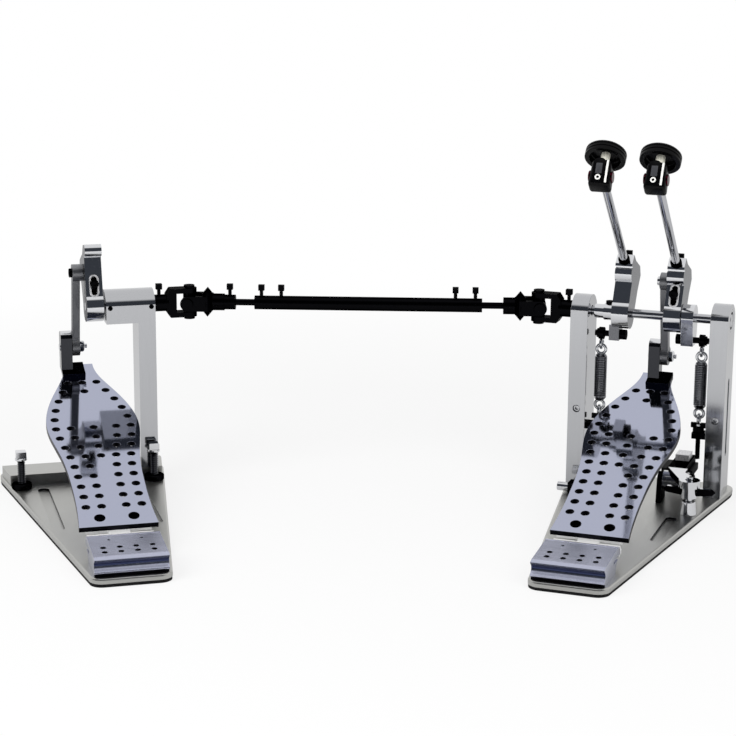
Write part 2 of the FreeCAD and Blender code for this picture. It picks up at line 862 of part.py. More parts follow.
def spring_eye(x, ring_z, side):
    """Ring with a cap and a plug for the coil; side is -1 where the coil hangs below the ring."""
    cap_start = ring_z + side * eye_ring_radius
    cap_end = cap_start + side * cap_height
    plug_end = cap_end + side * plug_length
    cap = Part.makeCone(plug_radius, cap_radius, cap_height, V(x, 0, cap_start), Z_AXIS * side)
    return fuse(ring(V(x, 0, ring_z), Y_AXIS), cap, rod_z(plug_radius, cap_end, plug_end, x, 0))


def biarc(start, start_way, end, end_way):
    """Two arcs that join a start and an end along their tangents."""
    gap = end - start
    ways = start_way + end_way
    spread = 2 * (1 - start_way.dot(end_way))
    reach = (math.sqrt(gap.dot(ways) ** 2 + spread * gap.dot(gap)) - gap.dot(ways)) / spread
    corner_a = start + start_way * reach
    corner_b = end - end_way * reach
    joint = (corner_a + corner_b) * 0.5
    edges = []
    for a, corner, b in ((start, corner_a, joint), (joint, corner_b, end)):
        chord = b - a
        weight = chord.dot(corner - a) / (chord.Length * (corner - a).Length)
        middle = (a + corner * (2 * weight) + b) * (1 / (2 + 2 * weight))
        edges.append(Part.Arc(a, middle, b).toShape())
    return edges


def coil(x, z0, z1):
    """Close-wound extension spring: one wire on a helix of quarter turns, with straight ends."""
    quarters = 4 * int((z1 - z0 - 2 * coil_wire_radius) / coil_pitch)
    climb = (z1 - z0 - 2 * coil_wire_radius) / quarters
    points, ways = [], []
    for step in range(quarters + 1):
        angle = step * math.pi / 2
        arm = V(math.cos(angle), math.sin(angle), 0)
        points.append(V(x, 0, z0 + coil_wire_radius + climb * step) + arm * coil_radius)
        way = Z_AXIS.cross(arm) * (coil_radius * math.pi / 2) + V(0, 0, climb)
        ways.append(way.normalize())
    lead = 2 * coil_wire_radius
    path = [Part.makeLine(points[0] - ways[0] * lead, points[0])]
    for step in range(quarters):
        path += biarc(points[step], ways[step], points[step + 1], ways[step + 1])
    path.append(Part.makeLine(points[-1], points[-1] + ways[-1] * lead))
    spine = Part.Wire(path)
    circle = Part.Wire(Part.makeCircle(coil_wire_radius, points[0] - ways[0] * lead, ways[0]))
    pipe = Part.BRepOffsetAPI.MakePipeShell(spine)
    pipe.add(circle)
    pipe.build()
    pipe.makeSolid()
    marks = spine.discretize(Number=40 * quarters)
    apart = 80
    least = coil_radius
    for i, mark in enumerate(marks):
        for other in marks[i + apart:i + 3 * apart]:
            least = min(least, mark.distanceToPoint(other))
    print("coil turns", quarters / 4, "least gap between turns", round(least - 2 * coil_wire_radius, 3))
    return pipe.shape()


def spring_bracket(side):
    inner = post_x - post_half
    top = shaft_height - bracket_drop
    depth = bracket_arm_depth / 2
    arm = block(side * (spring_x - nut_radius), side * inner, -depth, depth, top - bracket_arm_height, top)
    hole_start = top - 2 * bracket_arm_height
    return arm.cut(rod_z(tension_rod_radius + seat_gap, hole_start, top + 1, side * spring_x, 0))


def tension_rod(x):
    """Threaded eye bolt that holds the lower eye of a spring."""
    eye = ring(V(x, 0, lower_eye_z), X_AXIS)
    rod_end = shaft_height - tension_rod_drop
    return fuse(eye, rod_z(tension_rod_radius, rod_end, lower_eye_z - eye_ring_radius, x, 0))


def tension_nut(x):
    z0 = shaft_height - bracket_drop
    body = rod_z(nut_radius, z0, z0 + nut_height, x, 0)
    half, thick = nut_wing_span / 2, nut_wing_thickness / 2
    wing_z = z0 + nut_height
    wings = block(x - half, x + half, -thick, thick, wing_z - 1.0, wing_z + nut_wing_height)
    thread = rod_z(tension_rod_radius + seat_gap, z0 - 1, wing_z + 2 * nut_wing_height, x, 0)
    return fuse(body, wings).cut(thread)


# Universal joints and drive shaft, along X with the joint centre at the origin

def yoke(stem_radius, stem_end, pin_gap):
    """Fork with ears above and below the joint and its stem towards +X."""
    half = ear_radius
    parts = []
    for z0 in (ear_inside, -ear_outside):
        parts.append(block(0, yoke_base + 1, -half, half, z0, z0 + ear_thickness))
        parts.append(rod_z(ear_radius, z0, z0 + ear_thickness, 0, 0))
    outline = [(yoke_base, -ear_outside), (yoke_shoulder, -ear_outside), (yoke_neck, -stem_radius)]
    outline += [(x, -z) for x, z in reversed(outline)]
    corners = [V(x, -half, z) for x, z in outline]
    base = Part.Face(Part.makePolygon(corners + corners[:1])).extrude(V(0, 2 * half, 0))
    stem = rod_x(stem_radius, yoke_neck - 2, stem_end, 0, 0)
    pin = rod_z(trunnion_radius + pin_gap, -2 * ear_outside, 2 * ear_outside, 0, 0)
    return fuse(base, stem, *parts).cut(pin)


def outer_yoke():
    body = yoke(yoke_collar_radius, yoke_collar_end, open_gap)
    bore = rod_x(shaft_radius + seat_gap, yoke_shoulder, yoke_collar_end + 1, 0, 0)
    screw_x = (yoke_neck + yoke_collar_end) / 2 + yoke_screw_offset
    return body.cut(bore).cut(key_screw_hole(screw_x, 0, yoke_collar_radius + 1, shaft_radius))


def outer_yoke_screw():
    screw_x = (yoke_neck + yoke_collar_end) / 2 + yoke_screw_offset
    return key_screw(screw_x, 0, yoke_collar_radius, shaft_radius + side_gap)


def cross():
    body = rod_z(cross_radius, -ear_inside + side_gap, ear_inside - side_gap, 0, 0)
    reach = ear_outside + side_gap
    pins = [rod_z(trunnion_radius, -reach, reach, 0, 0), rod_y(trunnion_radius, -reach, reach, 0, 0)]
    caps = []
    for start in (reach, -reach - bearing_cap_height):
        caps.append(rod_z(bearing_cap_radius, start, start + bearing_cap_height, 0, 0))
        caps.append(rod_y(bearing_cap_radius, start, start + bearing_cap_height, 0, 0))
    return fuse(body, *pins, *caps)


def quarter_turn(shape):
    shape.rotate(V(0, 0, 0), X_AXIS, 90)
    return shape


def inner_yoke():
    """Yoke turned across the joint's plane, with a round flange of two cones behind its ears."""
    body = quarter_turn(yoke(yoke_collar_radius, yoke_collar_end, running_gap))
    near = Part.makeCone(yoke_collar_radius, flange_radius, flange_peak - flange_start,
                         V(flange_start, 0, 0), X_AXIS)
    far = Part.makeCone(flange_radius, yoke_collar_radius, flange_end - flange_peak,
                        V(flange_peak, 0, 0), X_AXIS)
    return fuse(body, near, far)


def slave_inner_yoke():
    """Inner yoke with its clamp collar and the rod that slides in the tube; stem towards +X."""
    body = inner_yoke()
    collar_end = yoke_collar_end + clamp_collar_length
    collar = rod_x(clamp_collar_radius, yoke_collar_end - 1, collar_end, 0, 0)
    rod = rod_x(drive_rod_radius, collar_end - 1, tube_start + slave_rod_inside, 0, 0)
    screw_x = (yoke_collar_end + collar_end) / 2
    screw = key_screw(screw_x, 0, clamp_collar_radius, clamp_collar_radius - 1)
    return fuse(body, collar, rod, screw)


def main_inner_yoke():
    """Inner yoke with the rod fixed in the tube; stem towards -X, from the main joint."""
    body = inner_yoke()
    body.rotate(V(0, 0, 0), Z_AXIS, 180)
    rod_end = -tube_end_setback - main_rod_inside
    rod = rod_x(drive_rod_radius, rod_end, -yoke_collar_end + 1, 0, 0)
    return fuse(body, rod)


def tube_screw_places():
    start = tube_start - joint_spacing
    end = start + tube_length
    return (start + tube_screw_near, start + tube_screw_far, end - tube_screw_far, end - tube_screw_near)


def drive_tube():
    start = tube_start - joint_spacing
    tube = rod_x(tube_radius, start, start + tube_length, 0, 0)
    bore = rod_x(drive_rod_radius + running_gap, start - 1, start + tube_length + 1, 0, 0)
    holes = [key_screw_hole(x, 0, tube_radius + 1, drive_rod_radius) for x in tube_screw_places()]
    return tube.cut(group([bore] + holes))


def tube_screws():
    tip = drive_rod_radius + side_gap
    return [key_screw(x, 0, tube_radius, tip) for x in tube_screw_places()]


# Hoop clamp

def clamp_bracket():
    """Two ears with the pivot pin, and the anvil under the wing screw."""
    solids = []
    for x0 in (jaw_barrel_start - side_gap - ear_plate_thickness, jaw_barrel_end + side_gap):
        x1 = x0 + ear_plate_thickness
        foot = jaw_barrel_radius + ear_plate_flare
        crown_z = jaw_pin_z + jaw_barrel_radius - ear_plate_drop
        ear = slab(x0, x1, (jaw_pin_y - foot, base_top), [
            (jaw_pin_y + foot, base_top),
            (jaw_pin_y + jaw_barrel_radius, jaw_pin_z),
            ((jaw_pin_y, crown_z), (jaw_pin_y - jaw_barrel_radius, jaw_pin_z))])
        bore = rod_x(jaw_pin_radius + seat_gap, x0 - 1, x1 + 1, jaw_pin_y, jaw_pin_z)
        solids.append(ear.cut(bore))
    pin_reach = ear_plate_thickness + 2 * side_gap
    solids.append(rod_x(jaw_pin_radius, jaw_barrel_start - pin_reach, jaw_barrel_end + pin_reach,
                        jaw_pin_y, jaw_pin_z))
    solids.append(Part.makeCone(anvil_radius, anvil_top_radius, anvil_height,
                                V(wing_x, wing_y, base_top), Z_AXIS))
    return group(solids)


def clamp_jaw():
    barrel = rod_x(jaw_barrel_radius, jaw_barrel_start, jaw_barrel_end, jaw_pin_y, jaw_pin_z)
    arm_top = jaw_arm_bottom + jaw_arm_height
    front = block(jaw_barrel_start, jaw_arm_end, jaw_pin_y, jaw_arm_front_y, jaw_arm_bottom, arm_top)
    cap = block(jaw_barrel_start + jaw_block_inset, jaw_arm_end - jaw_block_inset,
                jaw_block_back_y, jaw_block_front_y, arm_top, arm_top + jaw_block_height)
    rear_y = jaw_pin_y - jaw_barrel_radius
    rear_side = jaw_barrel_end - rear_arm_trim
    arm = plan([(jaw_barrel_start + rear_arm_inset, jaw_pin_y), (rear_side, jaw_pin_y),
                (rear_side, rear_y - rear_arm_inset),
                (wing_x + wing_boss_radius, wing_y), (wing_x - wing_boss_radius, wing_y)],
               rear_arm_bottom, rear_arm_bottom + rear_arm_height)
    boss = rod_z(wing_boss_radius, rear_arm_bottom, rear_arm_bottom + rear_arm_height, wing_x, wing_y)
    bore_radius = jaw_pin_radius + running_gap
    bore = rod_x(bore_radius, jaw_barrel_start - 1, jaw_barrel_end + 1, jaw_pin_y, jaw_pin_z)
    thread = rod_z(wing_stud_radius + wing_hole_gap, 0, 2 * rear_arm_bottom, wing_x, wing_y)
    return fuse(barrel, front, cap, arm, boss).cut(group([bore, thread]))


def clamp_pad():
    pad = block(pad_start, pad_end, pad_back_y, pad_front_y, jaw_arm_bottom - pad_height, jaw_arm_bottom)
    bottom = [e for e in pad.Edges if e.BoundBox.ZMax < jaw_arm_bottom - pad_height + 0.01]
    return pad.makeChamfer(pad_chamfer, bottom)


def wing_screw():
    foot_z = base_top + anvil_height + side_gap
    hub_z = rear_arm_bottom - side_gap - wing_hub_height
    stem_top = rear_arm_bottom + rear_arm_height + wing_stud_proud
    stem = rod_z(wing_stud_radius, foot_z, stem_top, wing_x, wing_y)
    core = rod_z(wing_hub_radius, hub_z - wing_hub_skirt, hub_z + wing_hub_height, wing_x, wing_y)
    thick, half = wing_thickness / 2, wing_span / 2
    inner = wing_hub_radius - wing_root
    top_z = hub_z + wing_hub_height
    wings = []
    for side in (-1, 1):
        corners = [(inner, hub_z), (half - wing_tip_taper, hub_z + wing_root),
                   (half, top_z - wing_tip_taper), (half - wing_tip_round, top_z), (inner, top_z)]
        points = [V(wing_x + side * x, wing_y - thick, z) for x, z in corners]
        wings.append(Part.Face(Part.makePolygon(points + points[:1])).extrude(V(0, wing_thickness, 0)))
    return fuse(stem, core, *wings)


def side_bolt():
    half = side_block_depth / 2
    end = side_block_start + side_block_width
    top = side_bolt_z + side_bolt_radius + side_block_cover
    holder = block(side_block_start, end, side_bolt_y - half, side_bolt_y + half, base_top, top)
    bolt = rod_x(side_bolt_radius, side_bolt_start, side_block_start, side_bolt_y, side_bolt_z)
    return group([holder, bolt])


# Main pedal

def post(side):
    x0, x1 = side * post_x - post_half, side * post_x + post_half
    shoulder = shaft_height + post_shoulder_rise
    body = slab(x0, x1, (-post_round, base_top), [
        (post_round, base_top), (post_round, shoulder),
        ((0.0, shaft_height + post_crown), (-post_round, shoulder))])
    outer = side * (post_x + post_half)
    seat = rod_x(bearing_radius + seat_gap, outer - side * bearing_width, outer + side, 0, shaft_height)
    passage = shaft_bore(x0 - 1, x1 + 1, 2 * side_gap)
    face_hole = rod_y(face_screw_head + seat_gap, -post_round - 1, -post_round + face_screw_depth,
                      side * post_x, post_face_screw_z)
    p0, p1 = outer - side * post_slot_depth, outer + side
    half = post_slot_width / 2
    low, high = post_face_screw_z - post_slot_length / 2, post_face_screw_z + post_slot_length / 2
    ends = [rod_x(half, p0, p1, 0, z) for z in (low, high)]
    pocket = fuse(block(p0, p1, -half, half, low, high), *ends)
    return body.cut(group([seat, passage, face_hole, pocket] + main_screw_holes()))


def main_screw_places():
    grip = base_top + screw_grip
    places = []
    for side in (-1, 1):
        places += [(side * post_x, y, grip) for y in (-post_foot_screw_y, post_foot_screw_y)]
        places.append((side * heel_screw_x, heel_screw_y, base_top + screw_grip / 2))
    return places


def main_screw_holes():
    return [foot_screw_hole(*place) for place in main_screw_places()]


def main_screws():
    solids = [foot_screw(*place) for place in main_screw_places()]
    for side in (-1, 1):
        head_y, tip_y = face_screw_sunk - post_round, face_screw_depth - post_round
        solids.append(rod_y(face_screw_head, head_y, tip_y, side * post_x, post_face_screw_z))
    return group(solids)


def bearing(x0):
    body = rod_x(bearing_radius, x0, x0 + bearing_width, 0, shaft_height)
    return body.cut(shaft_bore(x0 - 1, x0 + bearing_width + 1, running_gap))


def main_bearings():
    outer = post_x + post_half
    return group([bearing(-outer), bearing(outer - bearing_width)])


def spring_cam():
    """Block clamped on the main shaft beside the drive hub, hanging down to the spring stud."""
    x0 = main_hub_x + hub_width + side_gap
    x1 = x0 + cam_width
    foot = shaft_height - cam_drop
    body = slab(x0, x1, (-cam_half, shaft_height), [
        ((0.0, shaft_height + cam_half), (cam_half, shaft_height)),
        (cam_half - cam_foot_taper, foot), (cam_foot_taper - cam_half, foot)])
    hole = rod_x(stud_radius + seat_gap, x0 - 1, x1 + 1, 0, stud_z)
    body = body.cut(group([shaft_bore(x0 - 1, x1 + 1, seat_gap), hole]))
    return group([body, stud(x0, 1)])


def aux_hub():
    """Hub of the second beater, with a lug for its spring stud and a pilot bore for the main shaft."""
    end = aux_hub_x + hub_width
    foot = shaft_height - cam_drop
    lug_top = shaft_height - hub_radius + lug_root
    lug_x = aux_hub_x - lug_overhang
    lug = block(lug_x, lug_x + lug_width, -lug_half, lug_half, foot, lug_top)
    fixed = shaft_bore(aux_hub_x - 1, end - pilot_length, seat_gap)
    pilot = shaft_bore(end - pilot_length, end + 1, running_gap)
    hole = rod_x(stud_radius + seat_gap, lug_x - 1, end, 0, stud_z)
    cuts = clamp_cuts(aux_hub_x) + [fixed, pilot, hole]
    return fuse(hub_body(aux_hub_x, clamp_front), lug).cut(group(cuts))


def aux_collar():
    small = rod_x(collar_small_radius, collar_start_x, collar_step_x, 0, shaft_height)
    large = rod_x(collar_large_radius, collar_step_x, aux_hub_x, 0, shaft_height)
    screw_x = (collar_step_x + aux_hub_x) / 2
    hole = key_screw_hole(screw_x, 0, shaft_height + 2 * collar_large_radius, shaft_height + shaft_radius)
    return fuse(small, large).cut(group([shaft_bore(collar_start_x - 1, aux_hub_x + 1, seat_gap), hole]))


def aux_collar_screw():
    screw_x = (collar_step_x + aux_hub_x) / 2
    top = shaft_height + collar_large_radius + collar_screw_proud
    head = rod_z(collar_screw_head, shaft_height + collar_large_radius, top, screw_x, 0)
    return fuse(head, rod_z(key_neck_radius, shaft_height + shaft_radius + seat_gap, top, screw_x, 0))


# Slave pedal

def slave_screw_places():
    grip = base_top + slave_bar_height + screw_grip
    places = [(slave_post_x, y, grip) for y in (-post_foot_screw_y, post_foot_screw_y)]
    places += [(side * heel_screw_x, heel_screw_y, base_top + screw_grip / 2) for side in (-1, 1)]
    bar_grip = base_top + slave_bar_height / 2
    places += [(-slave_post_x, y, bar_grip) for y in (-post_foot_screw_y, post_foot_screw_y)]
    return places


def slave_screw_holes():
    return [foot_screw_hole(*place) for place in slave_screw_places()]


def arm_screw_places():
    return (slave_arm_start + arm_screw_inset, slave_arm_end - arm_screw_inset)


def slave_screws():
    solids = [foot_screw(*place) for place in slave_screw_places()]
    for x in arm_screw_places():
        front = -post_round - arm_screw_proud
        solids.append(rod_y(arm_screw_radius, front, face_screw_depth - post_round, x, arm_screw_z))
    return group(solids)


def slave_bar():
    back = plate_half(slave_bar_back_y) - slave_bar_inset
    front = plate_front_half - slave_bar_inset
    right = [(back, slave_bar_back_y), (front, plate_knee_y), (front, slave_bar_front_y)]
    outline = right + [(-x, y) for x, y in reversed(right)]
    bar = plan(outline, base_top, base_top + slave_bar_height)
    return bar.cut(group(slave_screw_holes()))


def slave_post():
    foot = base_top + slave_bar_height
    shoulder = shaft_height + post_shoulder_rise
    inner = slave_arm_end - post_thickness
    column = block(inner, slave_arm_end, -post_round, post_round, foot, shaft_height)
    arm = slab(slave_arm_start, slave_arm_end, (-post_round, shaft_height - slave_arm_drop), [
        (post_round, shaft_height - slave_arm_drop), (post_round, shoulder),
        ((0.0, shaft_height + post_crown), (-post_round, shoulder))])
    body = fuse(column, arm)
    cuts = [shaft_bore(slave_arm_start - 1, slave_arm_end + 1, 2 * side_gap)]
    for x0 in (slave_arm_start - 1, slave_arm_end - bearing_width):
        cuts.append(rod_x(bearing_radius + seat_gap, x0, x0 + bearing_width + 1, 0, shaft_height))
    for x in arm_screw_places():
        radius = arm_screw_radius + seat_gap
        cuts.append(rod_y(radius, -post_depth, face_screw_depth - post_round, x, arm_screw_z))
    return body.cut(group(cuts + slave_screw_holes()))


def slave_bearings():
    return group([bearing(slave_arm_start), bearing(slave_arm_end - bearing_width)])


def spur_places():
    return [(side * spur_x, spur_y) for side in (-1, 1)]


def spur_screws():
    """Threaded floor spurs with square heads and their lock nuts."""
    solids = []
    half = spur_head_width / 2
    top = spur_height + spur_flange_height
    for x, y in spur_places():
        shank = rod_z(spur_radius, spur_tip_z, spur_height, x, y)
        flange = rod_z(spur_flange_radius, spur_height, top, x, y)
        head = block(x - half, x + half, y - half, y + half, top, top + spur_head_height)
        solids.append(fuse(shank, flange, head))
        nut = rod_z(spur_nut_radius, base_top, base_top + spur_nut_height, x, y)
        solids.append(nut.cut(rod_z(spur_radius + seat_gap, 0, 2 * base_top + spur_nut_height, x, y)))
    return group(solids)


def spur_holes():
    return [rod_z(spur_radius + seat_gap, -1, 2 * base_top, x, y) for x, y in spur_places()]


# Places of the slave pedal and of the drive shaft in the main pedal's frame

bend = math.radians(drive_bend)
main_joint = V(main_joint_x, 0, shaft_height)
slave_joint = main_joint - V(math.cos(bend), math.sin(bend), 0) * joint_spacing
slave_turn = FreeCAD.Rotation(Z_AXIS, 2 * drive_bend)
slave_origin = slave_joint - slave_turn.multVec(V(slave_joint_x, 0, shaft_height))


def on_slave(shape):
    placed = shape.copy()
    placed.Placement = FreeCAD.Placement(slave_origin, slave_turn).multiply(shape.Placement)
    return placed


def at_joint(shape, centre, turn):
    placed = shape.copy()
    place = FreeCAD.Placement(centre, FreeCAD.Rotation(Z_AXIS, turn))
    placed.Placement = place.multiply(shape.Placement)
    return placed


# Assembly

def common_parts(name, hub_x, link_gap):
    """Pieces that both pedals share, in the pedal's own frame."""
    link_x = hub_x - link_gap - link_thickness
    bracket_x = link_x - side_gap - bracket_width
    return {
        name + "_floor_mat": floor_mat().cut(group(spur_holes())) if name == "slave" else floor_mat(),
        name + "_heel_hinge": heel_hinge(),
        name + "_footboard": footboard(bracket_x),
        name + "_hinge_leaf": hinge_leaf(bracket_x),
        name + "_toe_bracket": toe_bracket(bracket_x),
        name + "_link": group([link_bar(link_x, hub_x - side_gap), link_pin(bracket_x, link_x)]),
    }


def main_parts():
    parts = common_parts("main", main_hub_x, main_link_gap)
    holes = main_screw_holes()
    parts["main_base_plate"] = base_plate(channel_front_y, holes)
    parts["main_heel_plate"] = heel_plate(holes)
    parts["main_drive_hub"] = main_drive_hub()
    parts["main_rod_clamp"] = group(rod_clamp(main_hub_x) + [stroke_screw(main_hub_x)])
    parts["main_posts"] = group([post(-1), post(1)])
    parts["main_bearings"] = main_bearings()
    parts["main_screws"] = main_screws()
    parts["main_shaft"] = rod_x(shaft_radius, aux_hub_x + hub_width - pilot_length + side_gap,
                                post_x + post_half, 0, shaft_height)
    parts["right_spring_cam"] = spring_cam()
    parts["aux_shaft"] = rod_x(shaft_radius, main_joint_x + yoke_shoulder + side_gap,
                               aux_hub_x + hub_width - pilot_length, 0, shaft_height)
    parts["aux_hub"] = aux_hub()
    parts["aux_collar"] = group([aux_collar(), stud(aux_hub_x - lug_overhang + lug_width, -1)])
    parts["aux_rod_clamp"] = group(rod_clamp(aux_hub_x) + [aux_collar_screw()])
    for name, hub_x in (("main", main_hub_x), ("aux", aux_hub_x)):
        parts[name + "_beater_rod"] = beater_rod(hub_x)
        parts[name + "_beater_head"] = beater_head(hub_x)
    for name, side in (("left", -1), ("right", 1)):
        x = side * spring_x
        low = lower_ring_z + eye_ring_radius + cap_height + coil_end_gap
        high = upper_ring_z - eye_ring_radius - cap_height - coil_end_gap
        parts[name + "_swivel"] = swivel(x)
        parts[name + "_spring"] = coil(x, low, high)
        parts[name + "_spring_lower_eye"] = spring_eye(x, lower_ring_z, 1)
        parts[name + "_spring_upper_eye"] = spring_eye(x, upper_ring_z, -1)
    parts["spring_brackets"] = group([spring_bracket(-1), spring_bracket(1)])
    parts["tension_rods"] = group([tension_rod(-spring_x), tension_rod(spring_x),
                                   tension_nut(-spring_x), tension_nut(spring_x)])
    parts["clamp_bracket"] = group(clamp_bracket().Solids + side_bolt().Solids)
    parts["clamp_jaw"] = clamp_jaw()
    parts["clamp_pad"] = clamp_pad()
    parts["wing_screw"] = wing_screw()
    return parts


def drive_parts():
    parts = {"main_outer_yoke": at_joint(group([outer_yoke(), outer_yoke_screw()]), main_joint, 0)}
    parts["main_cross"] = at_joint(cross(), main_joint, drive_bend)
    parts["main_inner_yoke"] = at_joint(main_inner_yoke(), main_joint, drive_bend)
    parts["drive_tube"] = at_joint(group([drive_tube()] + tube_screws()), main_joint, drive_bend)
    parts["slave_cross"] = at_joint(cross(), slave_joint, drive_bend)
    parts["slave_inner_yoke"] = at_joint(slave_inner_yoke(), slave_joint, drive_bend)
    slave_yoke = group([outer_yoke(), outer_yoke_screw()])
    parts["slave_outer_yoke"] = at_joint(slave_yoke, slave_joint, 2 * drive_bend + 180)
    return parts


def slave_parts():
    parts = common_parts("slave", slave_hub_x, slave_link_gap)
    holes = slave_screw_holes()
    parts["slave_base_plate"] = base_plate(slave_channel_front_y, holes + spur_holes())
    parts["slave_heel_plate"] = heel_plate(holes)
    parts["slave_drive_hub"] = slave_drive_hub()
    parts["slave_stroke_screw"] = stroke_screw(slave_hub_x)
    parts["slave_bar"] = slave_bar()
    parts["slave_post"] = slave_post()
    parts["slave_bearings"] = slave_bearings()
    parts["slave_screws"] = slave_screws()
    parts["slave_spurs"] = spur_screws()
    shaft_end = slave_joint_x - yoke_shoulder - side_gap
    parts["slave_shaft"] = rod_x(shaft_radius, slave_hub_x, shaft_end, 0, shaft_height)
    return {name: on_slave(shape) for name, shape in parts.items()}


os.makedirs("parts", exist_ok=True)
everything = {**main_parts(), **drive_parts(), **slave_parts()}
for name, shape in everything.items():
    if not shape.isValid():
        print("not valid:", name)
    shape.exportStep("parts/" + name + ".step")
print(len(everything), "nodes")
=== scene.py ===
import json
import math

import bmesh
import bpy
from mathutils import Matrix, Vector

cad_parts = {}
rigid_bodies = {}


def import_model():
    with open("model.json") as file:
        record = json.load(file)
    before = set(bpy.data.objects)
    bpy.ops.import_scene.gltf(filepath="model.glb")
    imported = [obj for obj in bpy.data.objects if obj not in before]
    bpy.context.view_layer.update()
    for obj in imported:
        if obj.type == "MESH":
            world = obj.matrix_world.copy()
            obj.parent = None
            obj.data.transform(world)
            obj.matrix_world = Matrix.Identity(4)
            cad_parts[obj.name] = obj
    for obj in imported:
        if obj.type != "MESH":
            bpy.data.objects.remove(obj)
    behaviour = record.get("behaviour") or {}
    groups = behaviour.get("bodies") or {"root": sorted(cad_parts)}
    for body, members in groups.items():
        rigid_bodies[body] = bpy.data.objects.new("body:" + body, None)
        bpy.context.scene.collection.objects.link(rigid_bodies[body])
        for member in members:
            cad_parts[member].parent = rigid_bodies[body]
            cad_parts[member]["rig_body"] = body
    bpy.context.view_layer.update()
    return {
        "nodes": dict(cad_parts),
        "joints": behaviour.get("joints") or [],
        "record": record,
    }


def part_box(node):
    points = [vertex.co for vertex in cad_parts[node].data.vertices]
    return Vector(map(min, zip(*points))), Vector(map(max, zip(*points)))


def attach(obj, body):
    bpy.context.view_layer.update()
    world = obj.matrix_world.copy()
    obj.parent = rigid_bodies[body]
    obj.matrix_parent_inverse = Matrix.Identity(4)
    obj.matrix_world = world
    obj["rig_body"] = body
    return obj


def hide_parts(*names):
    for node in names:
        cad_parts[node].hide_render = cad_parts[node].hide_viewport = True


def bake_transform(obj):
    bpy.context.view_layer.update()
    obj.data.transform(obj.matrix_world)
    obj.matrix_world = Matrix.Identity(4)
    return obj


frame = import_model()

# Floor mats: a 3 mm sheet of black rubber glued under each base plate. Cut from rolled sheet,
# it has a dull, finely pebbled skin, and only its edge shows as a dark line under the plate.


def linear(code):
    """sRGB hex to the linear colour that Blender's sockets take."""
    parts = [int(code[i:i + 2], 16) / 255 for i in (1, 3, 5)]
    return [c / 12.92 if c <= 0.04045 else ((c + 0.055) / 1.055) ** 2.4 for c in parts] + [1.0]


def add_node(tree, kind, inputs, **settings):
    """Adds a node, with its settings, and its inputs given as values or as other nodes' outputs."""
    node = tree.nodes.new("ShaderNode" + kind)
    for name, value in settings.items():
        setattr(node, name, value)
    for name, value in inputs.items():
        if isinstance(value, bpy.types.NodeSocket):
            tree.links.new(value, node.inputs[name])
        else:
            node.inputs[name].default_value = value
    return node


def textured(name, colour, metallic, rough, grain, dark, bump, ior=None, glance=1.0):
    """Material whose colour, roughness and height vary with one noise. rough is its lowest and
    highest roughness, grain its noise's size in metres along X, Y and Z, dark how far the low
    spots darken, and bump the height of the grain in metres. Real grain of a tenth of a millimetre
    wouldn't show, so none is drawn finer than 0.8 mm. ior is for what isn't metal, and glance is
    how much of its shine a dark metal keeps at a low angle."""
    made = bpy.data.materials.new(name)
    made.use_nodes = True
    tree = made.node_tree
    shader = tree.nodes["Principled BSDF"]
    place = add_node(tree, "TexCoord", {})
    across = min(grain)
    stretch = [across / size for size in grain]
    fit = add_node(tree, "Mapping", {"Vector": place.outputs["Object"], "Scale": stretch})
    noise = add_node(tree, "TexNoise", {"Vector": fit.outputs[0], "Scale": 1 / across, "Detail": 4.0})
    # Nearly all of the noise lies between 0.3 and 0.7.
    spread = add_node(tree, "MapRange", {"Value": noise.outputs["Fac"], "From Min": 0.3, "From Max": 0.7,
                                         "To Min": rough[0], "To Max": rough[1]})
    high = linear(colour)
    low = [c * (1 - dark) for c in high[:3]] + [1.0]
    tint = add_node(tree, "ValToRGB", {"Fac": noise.outputs["Fac"]})
    for stop, position, shade in zip(tint.color_ramp.elements, (0.35, 0.65), (low, high)):
        stop.position = position
        stop.color = shade
    relief = add_node(tree, "Bump", {"Height": noise.outputs["Fac"], "Strength": 1.0, "Distance": bump})
    tree.links.new(tint.outputs["Color"], shader.inputs["Base Color"])
    tree.links.new(spread.outputs[0], shader.inputs["Roughness"])
    tree.links.new(relief.outputs[0], shader.inputs["Normal"])
    shader.inputs["Metallic"].default_value = metallic
    shader.inputs["Specular Tint"].default_value = (glance, glance, glance, 1)
    if ior:
        shader.inputs["IOR"].default_value = ior
    return made


# Faces that meet at more than this angle have an edge between them.
sharp_angle = math.radians(35)


def put(name, bm, finishes, body, edge=0.0):
    """Finished piece of a bmesh: its sharp edges are rounded to the radius given, or left sharp.
    It rides on the body, or on none yet where that is None."""
    mesh = bpy.data.meshes.new(name)
    bm.to_mesh(mesh)
    bm.free()
    mesh.shade_smooth()
    for finish in finishes:
        mesh.materials.append(finish)
    piece = bpy.data.objects.new(name, mesh)
    bpy.context.collection.objects.link(piece)
    if edge:
        rounding = piece.modifiers.new("Rounded edges", "BEVEL")
        rounding.width = edge
        rounding.segments = 2
        rounding.limit_method = "ANGLE"
        rounding.angle_limit = sharp_angle
        piece.modifiers.new("Flat faces", "WEIGHTED_NORMAL").keep_sharp = True
    else:
        mesh.set_sharp_from_angle(angle=sharp_angle)
    if body:
        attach(piece, body)
    return piece


def islands(bm):
    """The separate solids of a mesh, each as a list of faces."""
    left = set(bm.faces)
    found = []
    while left:
        first = left.pop()
        solid, open_faces = [first], [first]
        while open_faces:
            face = open_faces.pop()
            for near in (f for e in face.edges for f in e.link_faces if f in left):
                left.remove(near)
                solid.append(near)
                open_faces.append(near)
        found.append(solid)
    return found


